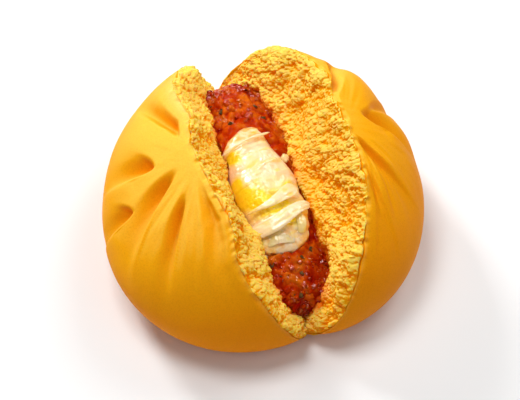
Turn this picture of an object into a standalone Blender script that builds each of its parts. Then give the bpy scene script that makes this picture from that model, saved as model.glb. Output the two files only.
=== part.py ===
"""A pizza steamed bun torn open from its crown, with its tomato filling and melted cheese.

The bun is first described closed: a pleated dome on a flat base. It is then parted along the Y axis
and each half leans outwards, so that the torn crumb faces form a valley that holds the filling.
Lengths are in metres, +Z is up, -X is the left half and the tear runs along Y. The origin is the
centre of the base's bounding box, on the surface that the bun stands on.
"""
import math
from dataclasses import dataclass

import bmesh
import bpy
import numpy as np
from mathutils import Matrix, Vector, noise

MM = 0.001

# Closed bun: a dome over a widest ring, turning in again to a flat base.
BUN_RADIUS = 50.0 * MM
BUN_HEIGHT = 52.0 * MM
BELLY_HEIGHT = 15.2 * MM
BELLY_SEMI_AXIS = 32.2 * MM
CROWN_POWER = 2.07

# The tear: how far it strays from the middle plane at the far (+Y) and near (-Y) ends.
TEAR_STRAY_FAR = -3.7 * MM
TEAR_STRAY_NEAR = -1.5 * MM
TEAR_FAR_TURN = math.radians(130.0)
TEAR_NEAR_TURN = math.radians(50.0)
TEAR_TURN_WIDTH = math.radians(12.0)
TEAR_HINGE = math.radians(10.0)
LENGTH_FACTOR = 0.952

# The valley between the two torn faces.
FLOOR_HEIGHT = 8.0 * MM
FLOOR_HALF_LENGTH = 41.5 * MM
FLOOR_POWER = 0.8
FLOOR_ROUNDING = 0.28

# Crumb relief on the torn faces, and how far above the filling it starts.
CRAG_DEPTH = 1.8 * MM
CRAG_SIZE = 8.0 * MM
CRAG_START = 0.07
CRAG_FULL = 0.26
CRAG_END = 0.86

# Filling: a bed of sauce, and cheese lying on the middle of it.
GAP = 0.35 * MM
SAUCE_NEAR = math.radians(22.0)
SAUCE_FAR = math.radians(167.0)
SAUCE_LEFT_LEVEL = 22.0 * MM
SAUCE_RIGHT_LEVEL = 19.5 * MM
SAUCE_END_POWER = 2.2
SAUCE_CROWN = 3.4 * MM
SAUCE_LUMP = 0.8 * MM
SAUCE_LUMP_SIZE = 5.5 * MM
CHEESE_NEAR = 0.25
CHEESE_FAR = 0.68
CHEESE_HALF_WIDTH = 0.92
CHEESE_BLUNTNESS = 0.38
CHEESE_THICKNESS = 5.6 * MM
CHEESE_FOLD_DEPTH = 0.9 * MM
CHEESE_FOLD_PITCH = 8.5 * MM

# Mesh density.
TEAR_ROWS = 64
SKIN_COLUMNS = 18
FACE_COLUMNS = 15
CROWN_CROWDING = 1.25
TIP_SPREAD = 0.35
FILLING_ROWS = 34
FILLING_COLUMNS = 16
MERGE_DISTANCE = 0.15 * MM


@dataclass(frozen=True)
class Half:
    """How one half of the torn bun lies."""

    side: int
    lean: float
    squeeze: float
    swell: float
    drag: float

    def open_up(self, x, y, z, along):
        """Turns points of the closed half outwards about the middle of the base."""
        tip = np.minimum(along, math.pi - along) / TEAR_HINGE
        tip = np.clip(tip, 0.0, 1.0)
        lean = self.lean * tip * tip * (3.0 - 2.0 * tip)
        out = self.side * x * self.squeeze
        angle = np.arctan2(out, z)
        reach = np.hypot(out, z)
        turned = lean + angle * (1.0 - lean / (math.pi / 2.0))
        reach = reach * (1.0 + self.swell * np.sin(math.pi * np.clip(2.0 * angle / math.pi, 0.0, 1.0)))
        shift = reach * np.sin(turned)
        return self.side * shift, y * LENGTH_FACTOR + self.drag * np.abs(shift), reach * np.cos(turned)


LEFT = Half(side=-1, lean=math.radians(25.5), squeeze=1.0, swell=0.02, drag=-0.166)
RIGHT = Half(side=1, lean=math.radians(26.0), squeeze=0.85, swell=-0.03, drag=-0.136)


@dataclass(frozen=True)
class Pleat:
    """A groove that runs out from the crown; angles in degrees round the bun from +X."""

    inner_angle: float
    outer_angle: float
    start: float
    end: float
    depth: float
    width: float


# Pleats fade out over the belly: the cosine of the angle from vertical where they end and begin.
PLEAT_FOOT = 0.28
PLEAT_FULL = 0.55
PLEATS = (
    Pleat(122.0, 122.0, 9.0 * MM, 38.0 * MM, 3.1 * MM, 3.9 * MM),
    Pleat(154.0, 156.0, 14.0 * MM, 46.0 * MM, 2.9 * MM, 4.2 * MM),
    Pleat(174.0, 176.0, 26.0 * MM, 49.0 * MM, 2.6 * MM, 3.9 * MM),
    Pleat(191.0, 202.0, 7.0 * MM, 46.0 * MM, 2.6 * MM, 3.6 * MM),
    Pleat(206.0, 224.0, 7.0 * MM, 42.0 * MM, 2.3 * MM, 3.4 * MM),
    Pleat(238.0, 262.0, 5.0 * MM, 34.0 * MM, 1.6 * MM, 3.9 * MM),
    Pleat(272.0, 276.0, 10.0 * MM, 38.0 * MM, 1.0 * MM, 3.4 * MM),
    Pleat(288.0, 296.0, 5.0 * MM, 42.0 * MM, 1.6 * MM, 3.6 * MM),
    Pleat(293.0, 328.0, 10.0 * MM, 46.0 * MM, 1.8 * MM, 3.4 * MM),
    Pleat(28.0, 2.0, 7.0 * MM, 34.0 * MM, 2.9 * MM, 3.6 * MM),
    Pleat(48.0, 36.0, 12.0 * MM, 42.0 * MM, 2.3 * MM, 4.2 * MM),
    Pleat(80.0, 74.0, 12.0 * MM, 36.0 * MM, 3.1 * MM, 3.4 * MM),
)


def smooth_step(low, high, value):
    """0 below low, 1 above high, and a smooth ramp between."""
    ramp = np.clip((value - low) / (high - low), 0.0, 1.0)
    return ramp * ramp * (3.0 - 2.0 * ramp)


def dome_table():
    """The closed bun's profile as (angle from vertical, distance from the base's middle)."""
    turn = np.linspace(0.0, math.pi / 2.0, 200)
    upper_r = BUN_RADIUS * np.sin(turn) ** (2.0 / CROWN_POWER)
    upper_z = BELLY_HEIGHT + (BUN_HEIGHT - BELLY_HEIGHT) * np.cos(turn) ** (2.0 / CROWN_POWER)
    lower_z = np.linspace(BELLY_HEIGHT, 0.0, 60)[1:]
    lower_r = BUN_RADIUS * np.sqrt(1.0 - ((BELLY_HEIGHT - lower_z) / BELLY_SEMI_AXIS) ** 2)
    radius = np.concatenate([upper_r, lower_r])
    height = np.concatenate([upper_z, lower_z])
    return np.arctan2(radius, height), np.hypot(radius, height)


DOME = dome_table()


def pleat_depth(x, y):
    """How deep the pleats are at points of the closed skin, seen from above."""
    radius = np.hypot(x, y)
    angle = np.degrees(np.arctan2(y, x))
    depth = np.zeros_like(radius)
    for pleat in PLEATS:
        along = (radius - pleat.start) / (pleat.end - pleat.start)
        centre = pleat.inner_angle + (pleat.outer_angle - pleat.inner_angle) * np.clip(along, 0.0, 1.0)
        off = (angle - centre + 180.0) % 360.0 - 180.0
        across = radius * np.radians(off) / pleat.width
        rise = smooth_step(-0.12, 0.16, along)
        fade = 1.0 - smooth_step(0.25, 1.0, along)
        depth += pleat.depth * np.exp(-across * across) * rise * fade
    return depth


def tear_stray(along):
    """How far the tear lies from the middle plane, by the angle along it (0 near, pi far)."""
    far = TEAR_STRAY_FAR / (1.0 + np.exp(-(along - TEAR_FAR_TURN) / TEAR_TURN_WIDTH))
    near = TEAR_STRAY_NEAR / (1.0 + np.exp((along - TEAR_NEAR_TURN) / TEAR_TURN_WIDTH))
    return far + near


def skin_point(half, along, outward):
    """A point of the opened skin: outward is 0 at the torn edge and 1 at the side of the base."""
    turn = outward * math.pi / 2.0
    dir_x = half.side * np.sin(turn)
    dir_y = -np.cos(turn) * np.cos(along)
    dir_z = np.cos(turn) * np.sin(along)
    reach = np.interp(np.arccos(np.clip(dir_z, -1.0, 1.0)), *DOME)
    sink = pleat_depth(reach * dir_x, reach * dir_y) * smooth_step(PLEAT_FOOT, PLEAT_FULL, dir_z)
    reach = reach - sink
    x, y, z = half.open_up(reach * dir_x, reach * dir_y, reach * dir_z, along)
    x = x + tear_stray(along) * np.cos(turn) ** 2
    return np.stack([x, y, z], axis=-1)


def floor_point(along):
    """The bottom line of the valley, from the near tip to the far tip."""
    y = -FLOOR_HALF_LENGTH * np.cos(along)
    z = FLOOR_HEIGHT * np.sin(along) ** FLOOR_POWER
    return np.stack([tear_stray(along), y, z], axis=-1)


def valley_lift(across):
    """The valley's height between floor (0) and torn edge (1): a V with a rounded bottom."""
    full = math.hypot(1.0, FLOOR_ROUNDING) - FLOOR_ROUNDING
    return (np.hypot(across, FLOOR_ROUNDING) - FLOOR_ROUNDING) / full


def valley_reach(lift):
    """The inverse of valley_lift."""
    full = math.hypot(1.0, FLOOR_ROUNDING) - FLOOR_ROUNDING
    return np.sqrt((lift * full + FLOOR_ROUNDING) ** 2 - FLOOR_ROUNDING ** 2)


def valley_point(along, across):
    """A point of the smooth valley: across is -1 at the left edge, 0 at the floor, 1 at the right."""
    left = skin_point(LEFT, along, np.zeros_like(along))
    right = skin_point(RIGHT, along, np.zeros_like(along))
    edge = np.where((across < 0.0)[..., None], left, right)
    floor = floor_point(along)
    share = np.abs(across)[..., None]
    point = floor + (edge - floor) * share
    lift = valley_lift(np.abs(across))
    point[..., 2] = floor[..., 2] + (edge[..., 2] - floor[..., 2]) * lift
    return point


def sauce_share(along):
    """Where a row lies along the sauce: -1 at its near end and 1 at its far end."""
    return np.clip((2.0 * along - SAUCE_NEAR - SAUCE_FAR) / (SAUCE_FAR - SAUCE_NEAR), -1.0, 1.0)


def sauce_edge(half, along):
    """How far across the valley the sauce reaches on each row, on one side."""
    floor = floor_point(along)[..., 2]
    rim = skin_point(half, along, np.zeros_like(along))[..., 2]
    level = SAUCE_LEFT_LEVEL if half.side < 0 else SAUCE_RIGHT_LEVEL
    level = np.minimum(level, floor + 0.66 * (rim - floor))
    ends = np.sqrt(np.clip(1.0 - np.abs(sauce_share(along)) ** SAUCE_END_POWER, 0.0, 1.0))
    lift = (level - floor) / np.maximum(rim - floor, 0.1 * MM) * ends
    return valley_reach(np.clip(lift, 0.0, 0.9))


def crag(points):
    """Rough crumb: lumps of several sizes, as a number from about -1 to 1."""
    height = np.empty(len(points))
    for index, point in enumerate(points):
        spot = Vector(point) / CRAG_SIZE
        height[index] = noise.fractal(spot, 0.9, 2.0, 2) + 0.5 * noise.noise(spot * 0.45)
    return height


def face_point(along, across):
    """A point of the torn crumb: the valley with crags above the filling."""
    point = valley_point(along, across)
    share = np.abs(across)
    above = share - np.where(across < 0.0, sauce_edge(LEFT, along), sauce_edge(RIGHT, along))
    window = smooth_step(CRAG_START, CRAG_FULL, above) * (1.0 - smooth_step(CRAG_END, 1.0, share))
    tip = np.minimum(along, math.pi - along)
    window = window * smooth_step(1.2 * TEAR_HINGE, 3.5 * TEAR_HINGE, tip)
    side = np.where(across < 0.0, 1.0, -1.0)
    normal = np.stack([side * math.cos(LEFT.lean), np.zeros_like(side), np.full_like(side, 0.42)], axis=-1)
    return point + normal * (CRAG_DEPTH * window * crag(point))[..., None]


def mapped_sphere(segments, rings, axis):
    """A sphere primitive with its poles on the given axis, as a bmesh."""
    mesh = bmesh.new()
    turn = Matrix.Rotation(math.pi / 2.0, 4, "Y") if axis == "X" else Matrix.Rotation(-math.pi / 2.0, 4, "X")
    bmesh.ops.create_uvsphere(mesh, u_segments=segments, v_segments=rings, radius=1.0, matrix=turn)
    return mesh


def move_vertices(mesh, points):
    """Puts each vertex of a bmesh at its row of an array."""
    for vertex, point in zip(mesh.verts, points):
        vertex.co = point


def build_dough():
    """The two halves of the bun, joined under the valley: one closed body on a flat base."""
    columns = 2 * (SKIN_COLUMNS + FACE_COLUMNS)
    mesh = mapped_sphere(2 * TEAR_ROWS, columns, "X")
    under = [vertex for vertex in mesh.verts if vertex.co.z < -1e-4]
    bmesh.ops.delete(mesh, geom=under, context="VERTS")
    place = np.array([vertex.co for vertex in mesh.verts])
    column = np.round(np.arccos(np.clip(-place[:, 0], -1.0, 1.0)) / math.pi * columns)
    along = np.arctan2(np.maximum(place[:, 2], 0.0), -place[:, 1])
    poles = np.abs(place[:, 0]) > 0.99999
    along = np.where(poles, math.pi / 2.0, along)
    along = along + 0.5 * TIP_SPREAD * np.sin(2.0 * along)

    points = np.zeros_like(place)
    left = column <= SKIN_COLUMNS
    outward = (1.0 - column / SKIN_COLUMNS).clip(0.0, 1.0) ** CROWN_CROWDING
    points[left] = skin_point(LEFT, along[left], outward[left])
    right = column >= columns - SKIN_COLUMNS
    outward = (1.0 - (columns - column) / SKIN_COLUMNS).clip(0.0, 1.0) ** CROWN_CROWDING
    points[right] = skin_point(RIGHT, along[right], outward[right])
    torn = ~(left | right)
    across = (column - SKIN_COLUMNS) / FACE_COLUMNS - 1.0
    points[torn] = face_point(along[torn], across[torn])
    on_base = np.abs(np.sin(along)) < 1e-5
    points[on_base | poles, 2] = 0.0

    move_vertices(mesh, points)
    inner = (column >= SKIN_COLUMNS) & (column <= columns - SKIN_COLUMNS) & on_base
    every = list(mesh.verts)
    for tip in (inner & (place[:, 1] < 0.0), inner & (place[:, 1] > 0.0)):
        shared = [every[index] for index in np.flatnonzero(tip)]
        bmesh.ops.pointmerge(mesh, verts=shared, merge_co=shared[0].co)
    rim = [edge for edge in mesh.edges if edge.is_boundary]
    bmesh.ops.contextual_create(mesh, geom=rim)
    bmesh.ops.triangulate(mesh, faces=[face for face in mesh.faces if len(face.verts) > 4])
    return mesh


def lid_point(share, across):
    """A point of the sauce's top: share runs along it from -1 to 1, across from -1 to 1."""
    along = SAUCE_NEAR + (SAUCE_FAR - SAUCE_NEAR) * (share + 1.0) / 2.0
    left = valley_point(along, -sauce_edge(LEFT, along))
    right = valley_point(along, sauce_edge(RIGHT, along))
    left[..., 0] += 1.8 * GAP
    right[..., 0] -= 1.8 * GAP
    point = left + (right - left) * ((across + 1.0) / 2.0)[..., None]
    point[..., 2] += SAUCE_CROWN * np.sqrt(np.clip(1.0 - share ** 2, 0.0, 1.0)) * (1.0 - across ** 2)
    return point


def cheese_share(share):
    """Where a point of the sauce lies along the cheese: -1 at its near end and 1 at its far end."""
    near = 2.0 * CHEESE_NEAR - 1.0
    far = 2.0 * CHEESE_FAR - 1.0
    return (2.0 * share - near - far) / (far - near)


def lumps(points, size):
    """Soft lumps as a number from about -1 to 1."""
    return np.array([noise.fractal(Vector(point) / size, 1.0, 2.0, 2) for point in points])


def build_sauce():
    """The tomato filling: a bed that fits the valley below and is lumpy on top."""
    mesh = mapped_sphere(2 * FILLING_COLUMNS, FILLING_ROWS, "Y")
    place = np.array([vertex.co for vertex in mesh.verts])
    turn = np.arccos(np.clip(place[:, 1], -1.0, 1.0))
    share = 1.0 - 2.0 * turn / math.pi
    ring = np.maximum(np.sin(turn), 1e-9)
    across = np.clip(place[:, 0] / ring, -1.0, 1.0)
    across[np.abs(place[:, 1]) > 0.99999] = 0.0

    top = lid_point(share, across)
    along = SAUCE_NEAR + (SAUCE_FAR - SAUCE_NEAR) * (share + 1.0) / 2.0
    clear = 1.0 - smooth_step(0.9, 1.15, np.abs(cheese_share(share)))
    clear = 1.0 - clear * (1.0 - smooth_step(CHEESE_HALF_WIDTH, 1.0, np.abs(across)) * 0.5)
    away = clear * (1.0 - across ** 4) * np.clip(1.0 - share ** 4, 0.0, 1.0)
    top[:, 2] += SAUCE_LUMP * away * lumps(top, SAUCE_LUMP_SIZE)
    reach = np.where(across < 0.0, sauce_edge(LEFT, along), sauce_edge(RIGHT, along))
    bottom = valley_point(along, across * reach)
    bottom[:, 0] -= across * 1.8 * GAP
    bottom[:, 2] += 1.2 * GAP
    points = np.where((place[:, 2] > -1e-6)[:, None], top, bottom)
    move_vertices(mesh, points)
    return mesh


def build_cheese():
    """The melted cheese: a thick folded blanket on the middle of the sauce."""
    mesh = mapped_sphere(2 * FILLING_COLUMNS, FILLING_ROWS, "Y")
    place = np.array([vertex.co for vertex in mesh.verts])
    turn = np.arccos(np.clip(place[:, 1], -1.0, 1.0))
    near = 2.0 * CHEESE_NEAR - 1.0
    far = 2.0 * CHEESE_FAR - 1.0
    local = place[:, 1]
    share = near + (far - near) * (local + 1.0) / 2.0
    width = np.sin(turn) ** CHEESE_BLUNTNESS
    ring = np.maximum(np.sin(turn), 1e-9)
    across = np.clip(place[:, 0] / ring, -1.0, 1.0)
    across[np.abs(local) > 0.99999] = 0.0
    spread = across * width * CHEESE_HALF_WIDTH

    base = lid_point(share, spread)
    base[:, 2] += 1.3 * GAP
    body = np.clip(1.0 - across ** 2, 0.0, 1.0) ** 0.5 * width
    fold = np.sin((base[:, 1] + 0.55 * base[:, 0]) * 2.0 * math.pi / CHEESE_FOLD_PITCH)
    fold = CHEESE_FOLD_DEPTH * fold * body
    soft = 0.5 * CHEESE_FOLD_DEPTH * lumps(base, SAUCE_LUMP_SIZE) * body
    top = base.copy()
    top[:, 2] += CHEESE_THICKNESS * body + fold + soft
    points = np.where((place[:, 2] > 1e-6)[:, None], top, base)
    move_vertices(mesh, points)
    bmesh.ops.remove_doubles(mesh, verts=mesh.verts, dist=0.4 * MERGE_DISTANCE)
    return mesh


def make_material(name, colour, roughness):
    """A Principled material of one colour."""
    material = bpy.data.materials.new(name)
    material.use_nodes = True
    shader = material.node_tree.nodes["Principled BSDF"]
    shader.inputs["Base Color"].default_value = (*colour, 1.0)
    shader.inputs["Roughness"].default_value = roughness
    shader.inputs["Metallic"].default_value = 0.0
    return material


def add_object(name, mesh, material, collection):
    """Turns a bmesh into a named object with smooth shading and outward faces."""
    bmesh.ops.recalc_face_normals(mesh, faces=mesh.faces)
    data = bpy.data.meshes.new(name)
    mesh.to_mesh(data)
    mesh.free()
    data.shade_smooth()
    data.set_sharp_from_angle(angle=math.radians(50.0))
    data.materials.append(material)
    piece = bpy.data.objects.new(name, data)
    collection.objects.link(piece)
    return piece


def centre_on_base(pieces):
    """Moves all meshes so that the origin is under the middle of the object's box."""
    corners = np.array([vertex.co for piece in pieces for vertex in piece.data.vertices])
    low = corners.min(axis=0)
    high = corners.max(axis=0)
    shift = Vector((-(low[0] + high[0]) / 2.0, -(low[1] + high[1]) / 2.0, -low[2]))
    for piece in pieces:
        piece.data.transform(Matrix.Translation(shift))
    print("moved by", [round(value / MM, 3) for value in shift], "mm")


def main():
    """Builds the bun in a collection of its own."""
    for item in list(bpy.data.objects):
        bpy.data.objects.remove(item, do_unlink=True)
    collection = bpy.data.collections.new("pizza_steamed_bun")
    bpy.context.scene.collection.children.link(collection)
    dough = make_material("dough", (0.90, 0.48, 0.06), 0.55)
    sauce = make_material("tomato_sauce", (0.42, 0.03, 0.01), 0.25)
    cheese = make_material("melted_cheese", (0.88, 0.72, 0.32), 0.30)
    pieces = [
        add_object("dough", build_dough(), dough, collection),
        add_object("sauce", build_sauce(), sauce, collection),
        add_object("cheese", build_cheese(), cheese, collection),
    ]
    centre_on_base(pieces)


main()
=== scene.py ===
"""Dressed model of a pizza steamed bun, torn open over its tomato and cheese filling.

The shape functions work in millimetres in the bun's own frame, whose origin is the middle of the
closed bun's base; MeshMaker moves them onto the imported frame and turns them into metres. -X is the
left half, +Y runs along the tear to its far end and +Z is up.
"""
import logging
import math
from collections.abc import Callable
from dataclasses import dataclass, field
from enum import Enum

import bpy
import numpy as np
from mathutils import Matrix


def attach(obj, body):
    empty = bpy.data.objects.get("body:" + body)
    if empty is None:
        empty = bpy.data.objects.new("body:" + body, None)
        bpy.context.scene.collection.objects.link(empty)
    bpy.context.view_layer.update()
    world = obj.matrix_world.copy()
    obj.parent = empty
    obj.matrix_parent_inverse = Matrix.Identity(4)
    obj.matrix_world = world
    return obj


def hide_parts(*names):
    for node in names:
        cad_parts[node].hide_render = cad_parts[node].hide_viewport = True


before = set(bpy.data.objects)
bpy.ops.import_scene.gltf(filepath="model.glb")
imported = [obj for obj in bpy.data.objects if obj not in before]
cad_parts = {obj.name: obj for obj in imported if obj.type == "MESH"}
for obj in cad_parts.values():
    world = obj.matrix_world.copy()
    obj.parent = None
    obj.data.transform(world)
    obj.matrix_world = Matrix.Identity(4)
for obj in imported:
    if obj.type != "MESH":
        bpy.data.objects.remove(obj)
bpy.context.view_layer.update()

MM = 0.001
# Where the middle of the closed bun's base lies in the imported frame, in millimetres.
FORM_IN_FRAME = (4.461, 1.197, 0.0)
# Radius of a rounded lump compared with the width of its cell.
LUMP_REACH = 0.85
LOG = logging.getLogger("bun")
# What the shape functions take as a coordinate, and what an input of a shader node takes.
Values = float | np.ndarray
Feed = bpy.types.NodeSocket | tuple[float, ...] | float


# ---------- Numbers and noise ----------
def unit(values: Values) -> np.ndarray:
    """Values held between 0 and 1."""
    return np.clip(values, 0.0, 1.0)


def smooth_step(low: float, high: float, value: np.ndarray) -> np.ndarray:
    """Ramp smoothly from 0 at low to 1 at high: 3r^2 - 2r^3 of the clipped ratio r.

    Args:
        low: Value at which the ramp starts.
        high: Value at which the ramp ends.
        value: Numbers to ramp.

    Returns:
        Numbers between 0 and 1.
    """
    ratio = unit((value - low) / (high - low))
    return ratio * ratio * (3.0 - 2.0 * ratio)


def sine_steps(count: int) -> np.ndarray:
    """Numbers from -1 to 1 that lie closer together towards both ends."""
    return np.sin(np.linspace(-0.5, 0.5, count) * math.pi)


def spot(x: Values, y: Values = 0.0, z: Values = 0.0) -> np.ndarray:
    """Points from their coordinates, each an array or a number."""
    return np.stack(np.broadcast_arrays(x, y, z), axis=-1)


def lattice_random(cells: np.ndarray, seed: int) -> np.ndarray:
    """Give each whole-number cell its own random number by mixing the bits of its indices.

    Args:
        cells: Integer cell indices, last axis of length 3.
        seed: Number that picks one of many patterns.

    Returns:
        Numbers in [0, 1), one per cell.
    """
    mixed = cells[..., 0].astype(np.uint32) * np.uint32(73856093)
    mixed ^= cells[..., 1].astype(np.uint32) * np.uint32(19349663)
    mixed ^= cells[..., 2].astype(np.uint32) * np.uint32(83492791)
    mixed ^= np.uint32((seed * 2654435761) % 4294967296)
    for shift, factor in ((16, 2246822519), (13, 3266489917), (15, 668265263)):
        mixed ^= mixed >> np.uint32(shift)
        mixed *= np.uint32(factor)
    mixed ^= mixed >> np.uint32(16)
    return mixed.astype(np.float64) / 4294967296.0


def value_noise(points: np.ndarray, size: float, seed: int) -> np.ndarray:
    """Smooth noise: random numbers on a lattice, blended between the eight corners of each cell.

    Args:
        points: Positions, last axis of length 3.
        size: Lattice spacing in millimetres.
        seed: Pattern number.

    Returns:
        Numbers from about -1 to 1.
    """
    scaled = points / size
    low = np.floor(scaled).astype(np.int64)
    ratio = scaled - low
    ratio = ratio * ratio * ratio * (ratio * (ratio * 6.0 - 15.0) + 10.0)
    total = np.zeros(points.shape[:-1])
    for corner in range(8):
        step = np.array([corner & 1, corner >> 1 & 1, corner >> 2 & 1])
        weight = np.prod(np.where(step == 1, ratio, 1.0 - ratio), axis=-1)
        total += weight * lattice_random(low + step, seed)
    return total * 2.0 - 1.0


def fractal_noise(points: np.ndarray, size: float, octaves: int, seed: int, gain: float = 0.5) -> np.ndarray:
    """Sum of value noises, each at half the size and gain times the strength of the one before.

    Args:
        points: Positions, last axis of length 3.
        size: Lattice spacing of the first octave in millimetres.
        octaves: How many noises are summed.
        seed: Pattern number.
        gain: Strength ratio between one octave and the next.

    Returns:
        Numbers from about -1 to 1.
    """
    total = np.zeros(points.shape[:-1])
    strength, reach = 1.0, 0.0
    for octave in range(octaves):
        total += strength * value_noise(points, size / 2.0 ** octave, seed + 31 * octave)
        reach += strength
        strength *= gain
    return total / reach


def drift(points: np.ndarray, size: float, amount: float, seed: int) -> np.ndarray:
    """Shift points by a smooth noise vector, which bends any pattern read from them.

    Args:
        points: Positions, last axis of length 3.
        size: Lattice spacing of the noise in millimetres.
        amount: Largest shift in millimetres.
        seed: Pattern number.

    Returns:
        The shifted positions.
    """
    shifts = [value_noise(points, size, seed + axis) for axis in range(3)]
    return points + amount * np.stack(shifts, axis=-1)


def lumps(points: np.ndarray, size: float, seed: int) -> np.ndarray:
    """Rounded lumps: 1 - (d / LUMP_REACH)^2, with d the distance to the nearest jittered cell centre.

    Args:
        points: Positions, last axis of length 3.
        size: Cell size in millimetres, about the width of a lump.
        seed: Pattern number.

    Returns:
        Numbers from 0 in the clefts to 1 on the tops.
    """
    scaled = points / size
    low = np.floor(scaled).astype(np.int64)
    nearest = np.full(points.shape[:-1], 9.0)
    for index in range(27):
        step = np.array([index % 3 - 1, index // 3 % 3 - 1, index // 9 - 1])
        cell = low + step
        centre = cell + np.stack([lattice_random(cell, seed + axis) for axis in range(3)], axis=-1)
        nearest = np.minimum(nearest, np.sum((centre - scaled) ** 2, axis=-1))
    return unit(1.0 - nearest / LUMP_REACH ** 2)


@dataclass(frozen=True)
class LumpKind:
    """One size of lump on a rough surface.

    Attributes:
        size: Width of a lump.
        seed: Its pattern number.
        bend_size: Lattice spacing of the drift that bends the pattern.
        bend: Largest shift of that drift.
        bend_seed: Pattern number of the drift.
        height: Height from cleft to top.
        bright: How much more a top lies in the light than a cleft.
    """

    size: float
    seed: int
    bend_size: float
    bend: float
    bend_seed: int
    height: float
    bright: float


def pile_lumps(points: np.ndarray, kinds: tuple[LumpKind, ...], level: float) -> tuple[np.ndarray, np.ndarray]:
    """Add up several sizes of lump.

    Args:
        points: Positions on the plain surface.
        kinds: The sizes of lump.
        level: Share of each lump's height that lies below the plain surface.

    Returns:
        Height in millimetres, and how much each point lies in the light.
    """
    height = bright = 0.0
    for kind in kinds:
        lump = lumps(drift(points, kind.bend_size, kind.bend, kind.bend_seed), kind.size, kind.seed)
        height = height + kind.height * (lump - level)
        bright = bright + kind.bright * lump
    return height, bright


def curve(knots: np.ndarray, count: int) -> np.ndarray:
    """Smooth curve through rows of knots: Catmull-Rom cubics, evenly stepped from knot to knot.

    Args:
        knots: Rows of coordinates.
        count: How many points are wanted.

    Returns:
        The points, in as many columns as the knots.
    """
    padded = np.concatenate([2.0 * knots[:1] - knots[1:2], knots, 2.0 * knots[-1:] - knots[-2:-1]])
    step = np.linspace(0.0, len(knots) - 1.0, count)
    low = np.minimum(step.astype(int), len(knots) - 2)
    part = (step - low)[:, None]
    a, b, c, d = (padded[low + offset] for offset in range(4))
    return 0.5 * (2.0 * b + (c - a) * part + (2.0 * a - 5.0 * b + 4.0 * c - d) * part ** 2
                  + (3.0 * b - a - 3.0 * c + d) * part ** 3)


# ---------- The bun's form ----------
@dataclass(frozen=True)
class Half:
    """How one half of the torn bun lies.

    Attributes:
        side: -1 for the left half and 1 for the right.
        lean: How far the torn face leans outwards, in radians.
        squeeze: Width of the half compared with half the closed bun.
        swell: How much the middle of its back swells.
        drag: How far it slips along Y for each unit outwards.
        level: Height of the sauce along its torn face.
        brim: How far the middle of its torn face swells.
        smear: How much higher the sauce's stain reaches on that face at the near end.
        wander: Degrees along the tear, and how far along +X the torn edge strays there.
        push: Degrees along the tear, and how far the crumb laps over the sauce there.
    """

    side: int
    lean: float
    squeeze: float
    swell: float
    drag: float
    level: float
    brim: float
    smear: float
    wander: tuple
    push: tuple


LEFT = Half(
    -1, math.radians(25.5), 1.0, 0.02, -0.166, 22.0, 1.7, 0.12,
    ((0, 0.0), (30, 0.3), (48, -0.9), (54, -0.3), (62, 1.5), (68, 2.2), (75, 0.9), (88, -0.4), (98, -1.2),
     (110, 0.8), (125, -2.1), (135, -1.0), (150, 0.0), (180, 0.0)),
    ((0, 0.0), (60, -0.4), (110, -0.4), (125, 0.8), (180, 0.8)),
)
RIGHT = Half(
    1, math.radians(26.0), 0.85, -0.03, -0.136, 19.5, 2.2, 0.40,
    ((0, 0.0), (40, 0.0), (70, 0.5), (87, -0.6), (101, -1.0), (112, 1.5), (120, 0.6), (145, 0.5), (160, -0.3),
     (168, -2.6), (175, -2.8), (180, 0.0)),
    ((0, 0.0), (40, 0.0), (51, -1.6), (60, 0.8), (69, 3.2), (87, 3.6), (98, 2.4), (110, 1.6), (180, 1.6)),
)


@dataclass(frozen=True)
class Pleat:
    """A fold of the dough that runs out from the crown; one flank is soft and the other steep.

    Attributes:
        side: -1 on the left half and 1 on the right.
        inner_angle: Angle round the bun from +X at the inner end, in degrees.
        outer_angle: The same at the outer end.
        bend: Below 1 turns quickly near the crown and then runs straight.
        start: Radius of the inner end.
        end: Radius at which the fold has faded out.
        depth: Greatest depth.
        soft: Width of the soft flank.
        steep: Width of the steep flank.
        lip: 1 if the steep flank is at the larger angle, -1 if at the smaller.
        rise: How far the dough stands proud beyond the steep flank.
        onset: Share of the length over which the fold reaches its depth.
    """

    side: int
    inner_angle: float
    outer_angle: float
    bend: float
    start: float
    end: float
    depth: float
    soft: float
    steep: float
    lip: int
    rise: float
    onset: float


PLEATS = (
    Pleat(-1, 113.5, 121.0, 1.0, 12.0, 48.0, 4.3, 3.8, 1.5, 1, 0.6, 0.26),
    Pleat(-1, 157.5, 159.0, 1.0, 20.0, 50.0, 4.8, 4.2, 1.4, 1, 0.7, 0.16),
    Pleat(-1, 180.5, 176.5, 1.0, 32.5, 53.0, 4.2, 4.0, 1.3, 1, 0.6, 0.18),
    Pleat(-1, 172.0, 201.0, 0.6, 9.5, 50.0, 4.4, 4.4, 2.0, 1, 1.3, 0.30),
    Pleat(-1, 214.0, 222.0, 0.6, 12.0, 46.0, 3.4, 2.8, 1.5, 1, 0.8, 0.28),
    Pleat(-1, 242.0, 261.0, 0.35, 6.0, 44.0, 2.1, 3.2, 2.2, 1, 0.6, 0.30),
    Pleat(1, 272.0, 303.0, 0.6, 12.0, 48.0, 1.6, 3.2, 1.0, 1, 0.5, 0.25),
    Pleat(1, 290.0, 330.0, 0.35, 4.0, 46.0, 2.4, 4.0, 0.9, 1, 0.6, 0.15),
    Pleat(1, 29.0, -4.0, 0.35, 12.0, 46.0, 4.8, 4.6, 1.0, -1, 0.9, 0.14),
    Pleat(1, 27.0, 19.0, 1.0, 18.0, 56.0, 2.1, 2.4, 1.8, 1, 0.4, 0.30),
    Pleat(1, 100.0, 50.0, 0.8, 8.0, 46.0, 5.6, 3.4, 1.3, 1, 1.0, 0.22),
)


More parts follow.
